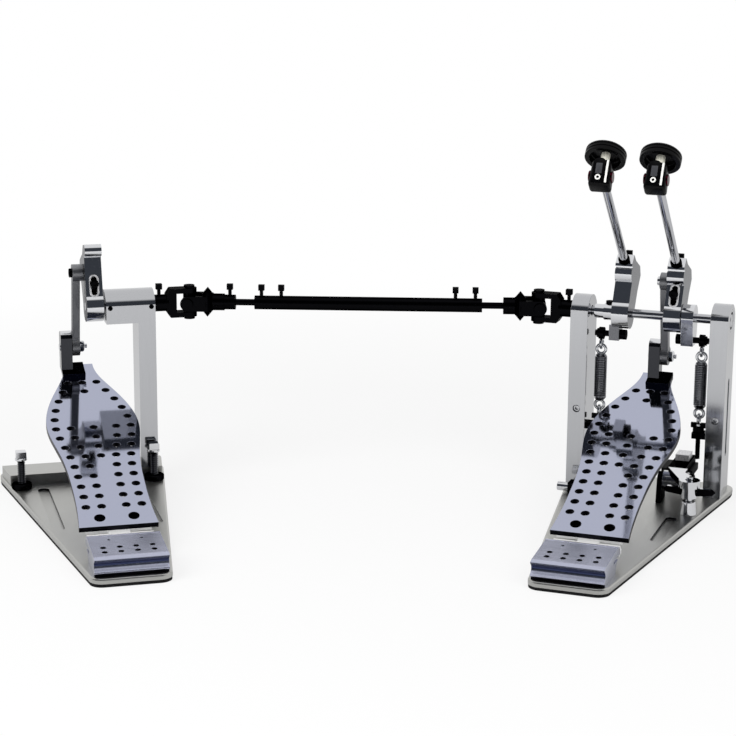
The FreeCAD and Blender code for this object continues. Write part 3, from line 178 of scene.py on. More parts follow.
def dress(node, finishes, edge, choose=None, paint=None, recut=None):
    """The CAD piece welded, its flat faces whole again and its edges rounded. Where its solids
    differ in finish, choose takes a solid's box in millimetres and gives the finish, or None to
    leave it out; paint does the same for a face, from its middle in millimetres and its normal.
    recut moves the mesh's points where the real piece has a finer form."""
    bm = bmesh.new()
    bm.from_mesh(frame["nodes"][node].data)
    bmesh.ops.remove_doubles(bm, verts=bm.verts, dist=1e-6)
    bmesh.ops.dissolve_limit(bm, angle_limit=math.radians(1.0), verts=bm.verts, edges=bm.edges)
    if choose:
        unwanted = []
        for solid in islands(bm):
            points = [v.co for f in solid for v in f.verts]
            pick = choose(Vector(map(min, *points)) * 1000, Vector(map(max, *points)) * 1000)
            if pick is None:
                unwanted += solid
                continue
            for face in solid:
                face.material_index = pick
        bmesh.ops.delete(bm, geom=unwanted, context="FACES")
    if recut:
        recut(bm)
    if paint:
        bm.normal_update()
        for face in bm.faces:
            face.material_index = paint(face.calc_center_median() * 1000, face.normal)
    piece = put(node + "_finished", bm, finishes, frame["nodes"][node]["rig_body"], edge)
    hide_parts(node)
    return piece


# Pebbled sheet rubber: dull and nearly black, so that it shows only broad grey highlights.
sheet_rubber = textured("pebbled_sheet_rubber", "#111112", 0.0, (0.72, 0.9), (0.0012,) * 3, 0.3,
                        0.00008, 1.3)
for node in ("main_floor_mat", "slave_floor_mat"):
    dress(node, [sheet_rubber], 0.0004)

# Base plates and the slave pedal's raised front bar: 5 mm aluminium plate and bar, sawn, milled and
# tumbled, then clear anodised. The rim is rounded and two long grooves stiffen each plate.

# Tumbled aluminium: an even satin grey with a faint long grain, which spreads the studio's light.
tumbled_aluminium = textured("tumbled_aluminium_plate", "#b0b0ad", 1.0, (0.3, 0.38),
                             (0.0014, 0.02, 0.0014), 0.05, 0.000003)
# The grooves' milled walls are rougher, and their dark grey is painted shade for the shadow they stand in.
painted_shade_groove = textured("groove_walls_painted_shade", "#3c3c3e", 1.0, (0.3, 0.4), (0.0008,) * 3, 0.2, 0.000002)


def groove_shade_paint(back):
    """Painted shade: the dark finish for the upright walls inside the plate's outline, which widens from heel
    to front.
    """
    heel_y, heel_half, widening, rim = -320, 35, 47.5 / 335, 4
    groove_start, groove_end = -175, -30

    def finish(middle, normal):
        spot = back @ (middle / 1000) * 1000
        outline = heel_half + (spot.y - heel_y) * widening
        inside = abs(spot.x) < outline - rim and groove_start < spot.y < groove_end
        return 1 if inside and abs(normal.z) < 0.5 else 0
    return finish


# The slave pedal's own frame stands turned beside the main pedal's.
main_frame = Matrix.Identity(4)
slave_axis = -Vector(next(j for j in frame["joints"] if j["name"] == "slave_rotor_turn")["axis"])
slave_floor = next(m for m in frame["record"]["mounts"] if m["name"] == "slave_floor")["pos_m"]
slave_frame = (Matrix.Translation(slave_floor)
               @ Matrix.Rotation(math.atan2(slave_axis.y, slave_axis.x), 4, "Z"))
# The groove walls take the painted shade.
for node, home in (("main_base_plate", main_frame), ("slave_base_plate", slave_frame)):
    dress(node, [tumbled_aluminium, painted_shade_groove], 0.0005, paint=groove_shade_paint(home.inverted()))
dress("slave_bar", [tumbled_aluminium], 0.0005)

# Posts: milled aluminium with half-round heads that hold the bearings, linished up and down and clear
# anodised. Two screws from under the base plate hold each one.

# Linished aluminium: smooth and light, with soft reflections and hardly any grain to see.
linished_aluminium = textured("linished_aluminium_posts", "#b6b7ba", 1.0, (0.08, 0.12),
                              (0.0011, 0.0011, 0.04), 0.03, 0.0000008)
for node in ("main_posts", "slave_post"):
    dress(node, [linished_aluminium], 0.0008)

# Bearings: pressed into the posts, each a hardened outer ring and inner ring with a dark rubber seal
# sunk between them.


def turned(bm, profile, place, steps=32, finish=0, flats=(), closed=False, stretch=0.0):
    """Turned solid added to a bmesh: the profile's radii and heights, in millimetres, are spun about
    the Z axis of the place given. flats gives the profile's points, by number, whose ring has flat
    sides, and how many. A closed profile makes a ring, and stretch draws it out along Y."""
    old = set(bm.verts)
    line = [bm.verts.new((radius, 0.0, height)) for radius, height in profile]
    edges = [bm.edges.new(pair) for pair in zip(line, line[1:])]
    if closed:
        edges.append(bm.edges.new((line[-1], line[0])))
    bmesh.ops.spin(bm, geom=line + edges, cent=(0, 0, 0), axis=(0, 0, 1), angle=math.tau, steps=steps,
                   use_merge=True)
    bmesh.ops.remove_doubles(bm, verts=[v for v in bm.verts if v not in old], dist=1e-5)
    made = [v for v in bm.verts if v not in old]
    for number, sides in flats:
        radius, height = profile[number]
        for v in made:
            across = v.co.xy.length
            if abs(v.co.z - height) < 1e-4 and abs(across - radius) < 1e-4:
                turn = math.atan2(v.co.y, v.co.x) % (math.tau / sides) - math.pi / sides
                v.co.xy = v.co.xy * (math.cos(math.pi / sides) / math.cos(turn))
    for v in made:
        if abs(v.co.y) > 1e-4:
            v.co.y += math.copysign(stretch, v.co.y)
    settle(bm, made, finish, place)


def settle(bm, made, finish, place):
    """Turns the faces of a bmesh's new points outwards, finishes them and moves them to their place.
    The folds of a thread can mislead the operator, so a solid of negative volume is turned round."""
    faces = list(dict.fromkeys(f for v in made for f in v.link_faces))
    bmesh.ops.recalc_face_normals(bm, faces=faces)
    for face in faces:
        face.normal_update()
        face.material_index = finish
    if sum(f.normal.dot(f.calc_center_median()) * f.calc_area() for f in faces) < 0:
        bmesh.ops.reverse_faces(bm, faces=faces)
    bmesh.ops.transform(bm, matrix=place, verts=made)


def along(point, way):
    """Place of a turned solid: its axis starts at a point, in millimetres, and runs the way given."""
    turn = Vector(way).to_track_quat("Z", "Y").to_matrix().to_4x4()
    return Matrix.Translation(Vector(point) / 1000) @ turn @ Matrix.Scale(0.001, 4)


shaft_z = 1000 * next(j for j in frame["joints"] if j["name"] == "main_rotor_turn")["pos_m"][2]

# Ground bearing steel: hard, bright rings with a fine turned grain.
bearing_steel = textured("ground_bearing_steel", "#b9babd", 1.0, (0.14, 0.2), (0.001,) * 3, 0.05, 0.000001)
outer_ring = [(8.8, 0.3), (9.1, 0), (10.7, 0), (11, 0.3), (11, 6.6), (10.7, 6.9), (9.1, 6.9), (8.8, 6.6)]
seal = [(6.5, 0.7), (8.8, 0.7), (8.8, 6.2), (6.5, 6.2)]
inner_ring = [(4.58, 0.3), (4.8, 0), (6.3, 0), (6.5, 0.3), (6.5, 6.6), (6.3, 6.9), (4.8, 6.9), (4.58, 6.6)]
# They stand this far off the bottom of their bores.
bore_play = 0.02
for node, home, places in (("main_bearings", main_frame, (-77.7, 70.7)),
                           ("slave_bearings", slave_frame, (23.1, 64.9))):
    bm = bmesh.new()
    for x in places:
        start = home @ along((x + bore_play, 0, shaft_z), (1, 0, 0))
        for ring, finish in ((outer_ring, 0), (seal, 1), (inner_ring, 0)):
            turned(bm, ring, start, 48, finish, closed=True)
    piece = put(node + "_finished", bm, [bearing_steel, sheet_rubber], frame["nodes"][node]["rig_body"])
    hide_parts(node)

# Screws: socket screws of blackened steel, under the plates and in the faces of the posts, where
# their heads sit at the bottom of a counterbore. Those of the main posts are bright.

# Black oxide steel: a thin dark skin with a soft sheen that catches light along its edges.
black_oxide_steel = textured("black_oxide_steel", "#0e0e10", 1.0, (0.26, 0.34), (0.0015,) * 3, 0.2,
                             0.000003, glance=0.25)


def socket_head(bm, radius, height, socket, place):
    """Round screw head with a hexagon socket, in millimetres."""
    rim = [(radius, height - 0.5), (radius - 0.15, height - 0.15), (radius - 0.5, height)]
    hole = [(socket, height), (socket, height / 2), (0, height / 2)]
    turned(bm, [(0, 0), (radius, 0), *rim, *hole], place, 36, flats=((5, 6), (6, 6)))


def foot_screws(low, high):
    """Keeps the screws at the plates, and leaves out those of the posts' faces, which are made here."""
    return 0 if high.z < 60 else None


bore_floor_y, post_screw_z, arm_screw_z = -13.5, 86, shaft_z + 0.5
dress("main_screws", [black_oxide_steel], 0.0003, foot_screws)
bm = bmesh.new()
for x in (-69, 69):
    socket_head(bm, 3.6, 4.4, 1.9, along((x, bore_floor_y, post_screw_z), (0, -1, 0)))
put("post_face_screws", bm, [bearing_steel], "main_base")
dress("slave_screws", [black_oxide_steel], 0.0003, foot_screws)
bm = bmesh.new()
for x in (27.1, 67.95):
    socket_head(bm, 2.4, 6.7, 1.2, slave_frame @ along((x, bore_floor_y, arm_screw_z), (0, -1, 0)))
put("arm_face_screws", bm, [black_oxide_steel], "slave_base")

# Heel plates: short aluminium extrusions with a hollow front over a lip, satin polished and anodised
# lavender grey, with two rows of drilled dimples for grip. Screws from below hold them to the plates.

# Satin anodised aluminium: pale lavender under a thin hard skin, which spreads what it mirrors.
satin_anodised = textured("satin_anodised_aluminium", "#b4b7ca", 1.0, (0.2, 0.26), (0.03, 0.002, 0.002),
                          0.03, 0.000001)
# Almost black: painted shade in the walls of holes, dimples and slots and in the undercut, and a painted
# reflection on the boards' edges.
painted_shade_walls = textured("cut_walls_painted_shade", "#1a1a20", 1.0, (0.3, 0.4), (0.0008,) * 3, 0.2, 0.000002)
# The roof of the hollow front is painted deep blue, as a painted reflection of the dark that its polished
# face mirrors.
painted_reflection_hollow = textured("hollow_roof_painted_reflection", "#363c58", 1.0, (0.12, 0.18), (0.03, 0.002, 0.002), 0.03,
                       0.000001)

# The front from top to foot, as Y and Z in millimetres: a narrow rounded edge, a wide hollow, a lip
# and an undercut.
edge_y, edge_depth, edge_drop = -310, 7, 2.6
front_y, hollow_top, hollow_height, hollow_depth = -317, 23.4, 10.4, 4.2
edge_steps, hollow_steps = 6, 19
front_line = []
for step in range(edge_steps + 1):
    turn = math.pi / 2 * step / edge_steps
    front_line.append((edge_y - edge_depth * math.sin(turn), hollow_top + edge_drop * math.cos(turn)))
for step in range(1, hollow_steps + 1):
    inward = hollow_depth * math.sin(math.pi * step / hollow_steps)
    front_line.append((front_y + inward, hollow_top - hollow_height * step / hollow_steps))
front_line += [(-317, 12.2), (-316.7, 11.6), (-316.2, 11.2), (-315.2, 11.0)]
front_line += [(-314.2, 10.9), (-313.6, 10.2), (-313.5, 9.2), (-313.5, 8.0)]


def hollow_front(home):
    """Recut that moves the rows of points on a heel plate's front, from the top down, to that line."""
    back = home.inverted()

    def recut(bm):
        rows = {}
        for v in bm.verts:
            spot = back @ v.co * 1000
            if spot.y < edge_y + 0.1:
                rows.setdefault(round(spot.z, 1), []).append((v, spot.x))
        for number, height in enumerate(sorted(rows, reverse=True)):
            step = number * (len(front_line) - 1) / (len(rows) - 1)
            first = min(int(step), len(front_line) - 2)
            y, z = Vector(front_line[first]).lerp(Vector(front_line[first + 1]), step - first)
            for v, x in rows[height]:
                v.co = home @ (Vector((x, y, z)) / 1000)
    return recut


def heel_shade_and_reflection_paint(back):
    """Near black for the dimples' walls and the undercut as painted shade, and blue for the hollow's roof as
    a painted reflection.
    """
    inner_half = 31.8

    def finish(middle, normal):
        spot = back @ (middle / 1000) * 1000
        inside = abs(spot.x) < inner_half
        if inside and -309 < spot.y < -266 and spot.z > 22 and abs(normal.z) < 0.5:
            return 1
        in_front = spot.y < -312
        if in_front and spot.z < 11.15:
            return 1
        return 2 if in_front and inside and 17.5 < spot.z < 23.3 else 0
    return finish


for node, home in (("main_heel_plate", main_frame), ("slave_heel_plate", slave_frame)):
    dress(node, [satin_anodised, painted_shade_walls, painted_reflection_hollow], 0.0003, paint=heel_shade_and_reflection_paint(home.inverted()),
          recut=hollow_front(home))

# Heel hinges: zinc-plated steel leaves round a steel pin, let in under the heel plate and the board
# and screwed to both.

# Zinc plate with a white passivated skin: pale, matt and half metallic.
zinc_plate = textured("white_zinc_plate", "#f0f0f0", 0.3, (0.4, 0.5), (0.0015,) * 3, 0.04, 0.000001)


def leaf_only(low, high):
    """Leaves out the small screws of the moving leaf, which are made with the board."""
    return 0 if (high - low).length > 30 else None


for node in ("main_heel_hinge", "slave_heel_hinge"):
    dress(node, [zinc_plate], 0.0004)
for node in ("main_hinge_leaf", "slave_hinge_leaf"):
    dress(node, [zinc_plate], 0.0004, leaf_only)

# Footboards: one-piece boards cut from 5 mm aluminium plate, pierced with rows of 8 mm holes, polished
# like a mirror and anodised lavender grey. Two socket screws hold each one to its hinge leaf.

# Polished anodised aluminium: a pale lavender mirror under a thin hard skin.
anodised_aluminium = textured("polished_anodised_aluminium", "#a8acbf", 1.0, (0.05, 0.07),
                              (0.0016,) * 3, 0.02, 0.0000005)
board_slope = math.radians(16.95)
board_way = Vector((0, math.cos(board_slope), math.sin(board_slope)))
board_up = Vector((0, -math.sin(board_slope), math.cos(board_slope)))
board_edge_y, board_edge_z = -239.996, 30
screw_side, screw_from_edge = 15.5, 13.5
low_head = [(0, 0), (5, 0), (5, 0.6), (4.7, 0.9), (2.6, 0.9), (2.6, -1.5), (0, -1.5)]


def board_shade_and_reflection_paint(up):
    """Near black for the walls of the holes as painted shade, and for the board's edge as a painted
    reflection.
    """
    def finish(middle, normal):
        return 1 if abs(normal.dot(up)) < 0.5 else 0
    return finish


# The holes' walls and the board's edge take the painted shade and painted reflection.
for name, home in (("main", main_frame), ("slave", slave_frame)):
    dress(name + "_footboard", [anodised_aluminium, painted_shade_walls], 0.0003,
          paint=board_shade_and_reflection_paint(home.to_3x3() @ board_up))
    bm = bmesh.new()
    for x in (-screw_side, screw_side):
        spot = Vector((x, board_edge_y, board_edge_z)) + screw_from_edge * board_way
        turned(bm, low_head, home @ along(spot, board_up), 36, flats=((4, 6), (5, 6)))
    put(name + "_board_screws", bm, [black_oxide_steel], name + "_board")

# Toe brackets and links: milled steel uprights screwed to the toes, and the flat bars that pull the
# hubs. A pin with a domed nut joins each pair, and a screw holds the bar's boss to the hub.

# Milled steel: grey and smooth, with a fine grain along the bar. This copy is darkened as painted shade, and
# the links' lighter copy is painted light.
painted_shade_steel = textured("milled_steel_painted_shade", "#3b3c40", 1.0, (0.1, 0.16), (0.0012, 0.0012, 0.02), 0.05,
                        0.000001)
painted_light_link_steel = textured("milled_steel_painted_light", "#88898c", 1.0, (0.38, 0.46), (0.0012, 0.0012, 0.02), 0.05,
                      0.000001)
# Painted reflection: dark blue on the front of the toe bracket's foot, standing in for its reflection in the
# polished board.
painted_reflection_foot = textured("foot_front_painted_reflection", "#3a3d52", 1.0, (0.1, 0.16), (0.001,) * 3, 0.05, 0.000001)
# Chrome plate: a bright mirror that breaks up into white and dark bands on rounded forms.
chrome_plate = textured("bright_chrome_plate", "#d2d3d6", 1.0, (0.06, 0.1), (0.002,) * 3, 0.02, 0.0000005)


def bracket_highlight_and_reflection_paint(home):
    """Grey for the upright, chrome on its upward faces as a painted highlight, black for the foot, and blue
    on the foot's front as a painted reflection.
    """
    back = home.inverted()
    up = home.to_3x3() @ board_up
    toe = home @ (Vector((0, 28.95, 112)) / 1000) * 1000
    foot_height = 6

    def finish(middle, normal):
        if (middle - toe).dot(up) > foot_height:
            return 3 if normal.z > 0.6 else 0
        return 2 if (back.to_3x3() @ normal).y < -0.7 else 1
    return finish


def bar_only(low, high):
    """Leaves out the pin and the screws, which are made here."""
    return 0 if (high - low).z > 40 else None


pivot_y, pivot_z = 28.95, 135.968
boss_y, boss_z = 12, shaft_z + 32
pin = [(0, 2.4), (3.4, 2.4), (4, 2.8), (4, 22.5), (0, 22.5)]
domed_nut = [(0, 0), (6, 0), (6, 2.6), (5.4, 3.8), (4.2, 4.5), (2.2, 4.9), (2.2, 7.1), (0, 7.1)]
for name, home, pin_x, bar_x, nut_x, boss_finish, boss_slot in (
        ("main", main_frame, -10.6, 4.6, 12.5, chrome_plate, "bright_steel"),
        ("slave", slave_frame, -21.3, -6.1, 1.8, black_oxide_steel, "black_steel")):
    dress(name + "_toe_bracket", [painted_shade_steel, black_oxide_steel, painted_reflection_foot, chrome_plate], 0.0008,
          paint=bracket_highlight_and_reflection_paint(home))
    dress(name + "_link", [painted_light_link_steel], 0.0006, bar_only)
    bm = bmesh.new()
    turned(bm, pin, home @ along((pin_x, pivot_y, pivot_z), (1, 0, 0)))
    turned(bm, domed_nut, home @ along((nut_x, pivot_y, pivot_z), (1, 0, 0)), 36, flats=((1, 6), (2, 6)))
    put(name + "_link_pin", bm, [chrome_plate], name + "_link")
    bm = bmesh.new()
    socket_head(bm, 4.5, 3, 2.2, home @ along((bar_x, boss_y, boss_z), (-1, 0, 0)))
    put(name + "_boss_screw", bm, [boss_finish], name + "_link")

# Shafts, hubs, cam and collar: ground steel shafts carry hubs milled from aluminium and polished. A
# slot in each drive hub takes the screw that sets the stroke, and key screws clamp the beater rods.

# Ground and chromed steel: a smooth mirror with long black and white bands.
ground_steel = textured("ground_chromed_steel", "#b4b5b9", 1.0, (0.05, 0.09), (0.02, 0.001, 0.001), 0.03,
                        0.0000005)
for node in ("main_shaft", "aux_shaft", "slave_shaft"):
    dress(node, [ground_steel], 0.0003)


def hub_slot_shade_and_side_paint(back, centre):
    """Near black for the walls and floor of the stroke slot as painted shade, and a satin one for the hub's
    sides.
    """
    slot_half, slot_foot, slot_top, slot_floor_y = 3.1, 12.3, 30.7, -12
    nose_z = shaft_z - 15

    def finish(middle, normal):
        spot = back @ (middle / 1000) * 1000
        facing = back.to_3x3() @ normal
        forward = facing.y < -0.97
        level = slot_foot < spot.z - shaft_z < slot_top
        inside = level and abs(spot.x - centre) < slot_half and spot.y > slot_floor_y
        if inside and (abs(facing.y) < 0.3 or forward):
            return 1
        return 2 if abs(facing.x) > 0.9 or forward and spot.z < nose_z else 0
    return finish


# The hubs' sawn sides are only bead blasted, and the rim of the slot is brushed.
blasted_side = textured("bead_blasted_side", "#75767a", 1.0, (0.22, 0.3), (0.001,) * 3, 0.06, 0.000002)
satin_chrome = textured("satin_chrome_rim", "#dcdcde", 0.6, (0.25, 0.32), (0.001,) * 3, 0.03, 0.000001)
# A raised rim stands round each slot, on the arm's leaning face.
slot_x = {"main": 21.55, "slave": 13.25, "aux": -29.85}
slot_middle_z, slot_half_height, slot_radius = 21.5, 9, 3
rim_line = [(3, -0.5), (3, 0.5), (3.5, 0.9), (4.3, 0.9), (4.8, 0.4), (4.8, -0.5)]
face_foot = Vector((0, -9.96, 11.87))
# The stroke slots' walls take the painted shade.
for name, home, face_top in (("main", main_frame, (-0.5, 31.0)), ("slave", slave_frame, (1.0, 50.6))):
    dress(name + "_drive_hub", [chrome_plate, painted_shade_walls, blasted_side], 0.0008,
          paint=hub_slot_shade_and_side_paint(home.inverted(), slot_x[name]))
    lean = Vector((0, *face_top)) - face_foot
    slot_middle = face_foot + lean * ((slot_middle_z - face_foot.z) / lean.z)
    straight = slot_half_height * lean.length / lean.z - slot_radius
    bm = bmesh.new()
    turned(bm, rim_line, home @ along(slot_middle + Vector((slot_x[name], 0, shaft_z)), (0, -lean.z, lean.y)),
           40, closed=True, stretch=straight)
    put(name + "_slot_rim", bm, [satin_chrome], name + "_rotor")
dress("aux_hub", [chrome_plate, painted_shade_walls, blasted_side], 0.0008,
      paint=hub_slot_shade_and_side_paint(main_frame, slot_x["aux"]))


def stud_black(low, high):
    """Black for the small stud that the spring's swivel hangs on."""
    return 1 if high.z - low.z < 12 else 0


for node in ("right_spring_cam", "aux_collar"):
    dress(node, [chrome_plate, black_oxide_steel], 0.0006, stud_black)


def not_stroke_screw(low, high):
    """Leaves out the long stroke screw, which is made here."""
    return None if high.y - low.y > 12 and high.z - low.z < 10 else 0


def stroke_screw(home, x):
    """Socket screw in the middle of a drive hub's slot, with its shank behind."""
    bm = bmesh.new()
    seat = (x, -8, shaft_z + 24)
    socket_head(bm, 4.4, 3, 2.2, home @ along(seat, (0, -1, 0)))
    turned(bm, [(0, 0), (2.6, 0), (2.6, 12), (0, 12)], home @ along(seat, (0, 1, 0)), 24)
    return bm


for node in ("main_rod_clamp", "aux_rod_clamp"):
    dress(node, [black_oxide_steel], 0.0004, not_stroke_screw)
put("main_stroke_screw", stroke_screw(main_frame, slot_x["main"]), [black_oxide_steel], "main_rotor")
piece = put("slave_stroke_screw_finished", stroke_screw(slave_frame, slot_x["slave"]), [black_oxide_steel],
            "slave_rotor")
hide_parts("slave_stroke_screw")

# Beaters: chromed steel rods carry black moulded heads. Each head is a wedge with a raised cover, a
# pale neck and a ribbed striking disc, and a dark red weight is pressed into each side.

# Moulded plastic: glossy black with a very fine skin, and the same plastic in other colours.
moulded_plastic = textured("moulded_black_plastic", "#040405", 0.0, (0.2, 0.3), (0.001,) * 3, 0.2,
                           0.000002, 1.2)
grey_plastic = textured("moulded_grey_plastic", "#38393d", 0.0, (0.3, 0.4), (0.001,) * 3, 0.1, 0.000002)
white_plastic = textured("moulded_white_plastic", "#ecece8", 0.0, (0.3, 0.4), (0.001,) * 3, 0.03, 0.000002)
cream_plastic = textured("moulded_cream_plastic", "#fbf9ea", 0.0, (0.3, 0.4), (0.001,) * 3, 0.03, 0.000002)
# Red anodised metal: the weights, dark with a soft shine.
red_metal = textured("dark_red_anodised_weight", "#3c0a17", 1.0, (0.16, 0.24), (0.001,) * 3, 0.1, 0.000001)
# Bright chrome on the rods: a mirror whose white edges frame one dark band.
rod_chrome = textured("bright_chrome_rod", "#c4c5c9", 1.0, (0.05, 0.08), (0.001, 0.001, 0.02), 0.03,
                      0.0000005)


def box_solid(bm, low, high, place, finish, round_front=0.0, edge=0.0, drop=0.0, taper=1.0):
    """Block between two corners in millimetres, with its front uprights and then all its edges rounded.
    drop lowers the back of its top, and taper narrows its front."""
    old = set(bm.verts)
    low, high = Vector(low), Vector(high)
    middle = (low + high) / 2
    size = Matrix.Diagonal((*(high - low), 1))
    bmesh.ops.create_cube(bm, size=1.0, matrix=Matrix.Translation(middle) @ size)
    made = [v for v in bm.verts if v not in old]
    for v in made:
        if v.co.y < middle.y and v.co.z > middle.z:
            v.co.z -= drop
        if v.co.y > middle.y:
            v.co.x *= taper
    if round_front:
        in_front = [e for e in dict.fromkeys(e for v in made for e in v.link_edges)
                    if all(v.co.y > high.y - 1e-4 for v in e.verts)]
        uprights = [e for e in in_front if abs(e.verts[0].co.x - e.verts[1].co.x) < 1e-4]
        bmesh.ops.bevel(bm, geom=uprights, offset=round_front, affect="EDGES", segments=8, profile=0.5,
                        material=-1)
        made = [v for v in bm.verts if v not in old]
    if edge:
        sharp = [e for e in dict.fromkeys(e for v in made for e in v.link_edges)
                 if len(e.link_faces) == 2 and e.calc_face_angle() > sharp_angle]
        bmesh.ops.bevel(bm, geom=sharp, offset=edge, affect="EDGES", segments=3, profile=0.5, material=-1)
        made = [v for v in bm.verts if v not in old]
    for face in {f for v in made for f in v.link_faces}:
        face.material_index = finish
    bmesh.ops.transform(bm, matrix=place, verts=made)


# Sizes of a head from the rod's axis: Y runs to the disc, and Z up the rod.
rod_radius, head_reach, rod_inside = 0.004, 0.011, 7
body_half, body_front, body_length, body_foot, body_top = 10.5, 9.5, 25.0, -10, 10.4
back_drop, front_taper = 6.0, 0.84
cover_ring = [(1.3, -1), (2.7, -1), (2.7, 0.7), (2.5, 0.9), (1.5, 0.9), (1.3, 0.7)]
neck = [(0, 5), (4.3, 5), (4.3, 21.6), (0, 21.6)]
# The disc is hollow behind, where the neck goes in, and ribbed round its rim.
disc = [(0, 21.5), (13.6, 21.5), (14.2, 20.9), (14.6, 15.4), (15, 15), (18.4, 15), (19.1, 15.6),
        (19.2, 17.6), (18.4, 18), (18.4, 18.8), (19.2, 19.2), (19.2, 20.8), (18.4, 21.2), (18.4, 22),
        (19.2, 22.4), (19, 23.7), (17.8, 24.9), (16, 25.4), (0, 25.4)]
weight = [(0, 8), (5.5, 8), (5.5, 10.7), (5, 11.3), (0, 11.3)]
for name in ("main", "aux"):
    rod = Vector(next(j for j in frame["joints"] if j["name"] == name + "_beater_height")["axis"])
    low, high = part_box(name + "_beater_rod")
    rod_top = Vector(((low.x + high.x) / 2, low.y + rod_radius * rod.z, high.z + rod_radius * rod.y))
    top = rod_top - head_reach * rod
    lean = Matrix.Rotation(math.atan2(-rod.y, rod.z), 4, "X")
    home = Matrix.Translation(top) @ lean @ Matrix.Scale(0.001, 4)
    forward = home @ Matrix.Rotation(-math.pi / 2, 4, "X")
    # The rod ends inside the head.
    rod_foot = Vector((top.x, high.y + rod_radius * -rod.z, low.z - rod_radius * rod.y))
    rod_end = (top - rod_foot).length * 1000 + rod_inside
    bm = bmesh.new()
    turned(bm, [(0, 0), (3.5, 0), (4, 0.5), (4, rod_end), (0, rod_end)], along(rod_foot * 1000, rod))
    piece = put(name + "_beater_rod_finished", bm, [rod_chrome], name + "_beater")
    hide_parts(name + "_beater_rod")
    bm = bmesh.new()
    box_solid(bm, (-body_half, body_front - body_length, body_foot), (body_half, body_front, body_top), home,
              0, 3.5, 3.0, back_drop, front_taper)
    # The cover, its grey panel, its white stripe and its white ring lie on the wedge's slope.
    cover = (home @ Matrix.Translation((0, body_front, body_top))
             @ Matrix.Rotation(math.atan2(back_drop, body_length), 4, "X"))
    box_solid(bm, (-7.4, -24.5, -2), (4.6, 0.8, 0.5), cover, 0, 5.8, 0.4)
    box_solid(bm, (-4.4, -15, -1), (1.6, -4.7, 0.65), cover, 1, 0.0, 0.2)
    box_solid(bm, (5.0, -23.3, -1.5), (7.0, -1.4, 0.4), cover, 2, 0.0, 0.2)
    turned(bm, cover_ring, cover @ Matrix.Translation((-1.4, -18.6, 0)), 24, 2, closed=True)
    turned(bm, neck, forward, 32, 3)
    turned(bm, disc, forward, 64, 0)
    for side in (-1, 1):
        sideways = Matrix.Translation((0, -4, 0)) @ Matrix.Rotation(side * math.pi / 2, 4, "Y")
        turned(bm, weight, home @ sideways, 32, 4)
    piece = put(name + "_beater_head_finished", bm,
                [moulded_plastic, grey_plastic, white_plastic, cream_plastic, red_metal],
                name + "_beater")
    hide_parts(name + "_beater_head")

# Return springs: hard-drawn wire coils hang on swivels under the cam and the stepped collar. Threaded
# eye bolts with wing nuts pull on their lower eyes from brackets on the posts.

# Drawn spring wire: dark grey, smooth, with a narrow highlight down the coil.
spring_wire = textured("drawn_spring_wire", "#6c6d72", 1.0, (0.14, 0.2), (0.001,) * 3, 0.08, 0.000001)


def threaded(bm, radius, depth, pitch, low, high, place, finish=0):
    """Screw thread between two heights: a zigzag that climbs one pitch as it is spun once round."""
    old = set(bm.verts)
    steps = 24
    count = round((high - low) / pitch) - 1
    line = [bm.verts.new((radius - depth * (i % 2), 0, low + i * pitch / 2)) for i in range(2 * count + 1)]
    edges = [bm.edges.new(pair) for pair in zip(line, line[1:])]
    bmesh.ops.spin(bm, geom=line + edges, cent=(0, 0, 0), axis=(0, 0, 1), dvec=(0, 0, pitch / steps),
                   angle=math.tau, steps=steps)
    bmesh.ops.remove_doubles(bm, verts=[v for v in bm.verts if v not in old], dist=1e-4)
    made = [v for v in bm.verts if v not in old]
    rims = [e for e in dict.fromkeys(e for v in made for e in v.link_edges) if e.is_boundary]
    bmesh.ops.holes_fill(bm, edges=rims, sides=0)
    settle(bm, made, finish, place)


def wire_ring(bm, ring_radius, wire_radius, place, finish):
    """Round ring of wire about the place's Z axis."""
    old = set(bm.verts)
    across = Matrix.Translation((ring_radius, 0, 0)) @ Matrix.Rotation(math.pi / 2, 4, "X")
    bmesh.ops.create_circle(bm, radius=wire_radius, segments=12, matrix=across)
    made = [v for v in bm.verts if v not in old]
    edges = list(dict.fromkeys(e for v in made for e in v.link_edges))
    bmesh.ops.spin(bm, geom=made + edges, cent=(0, 0, 0), axis=(0, 0, 1), angle=math.tau, steps=36,
                   use_merge=True)
    settle(bm, [v for v in bm.verts if v not in old], finish, place)


def second_above(height):
    """The second finish for what lies above a height in millimetres."""
    return lambda middle, normal: 1 if middle.z > height else 0


def second_below(height):
    """The second finish for what lies below a height in millimetres."""
    return lambda middle, normal: 1 if middle.z < height else 0


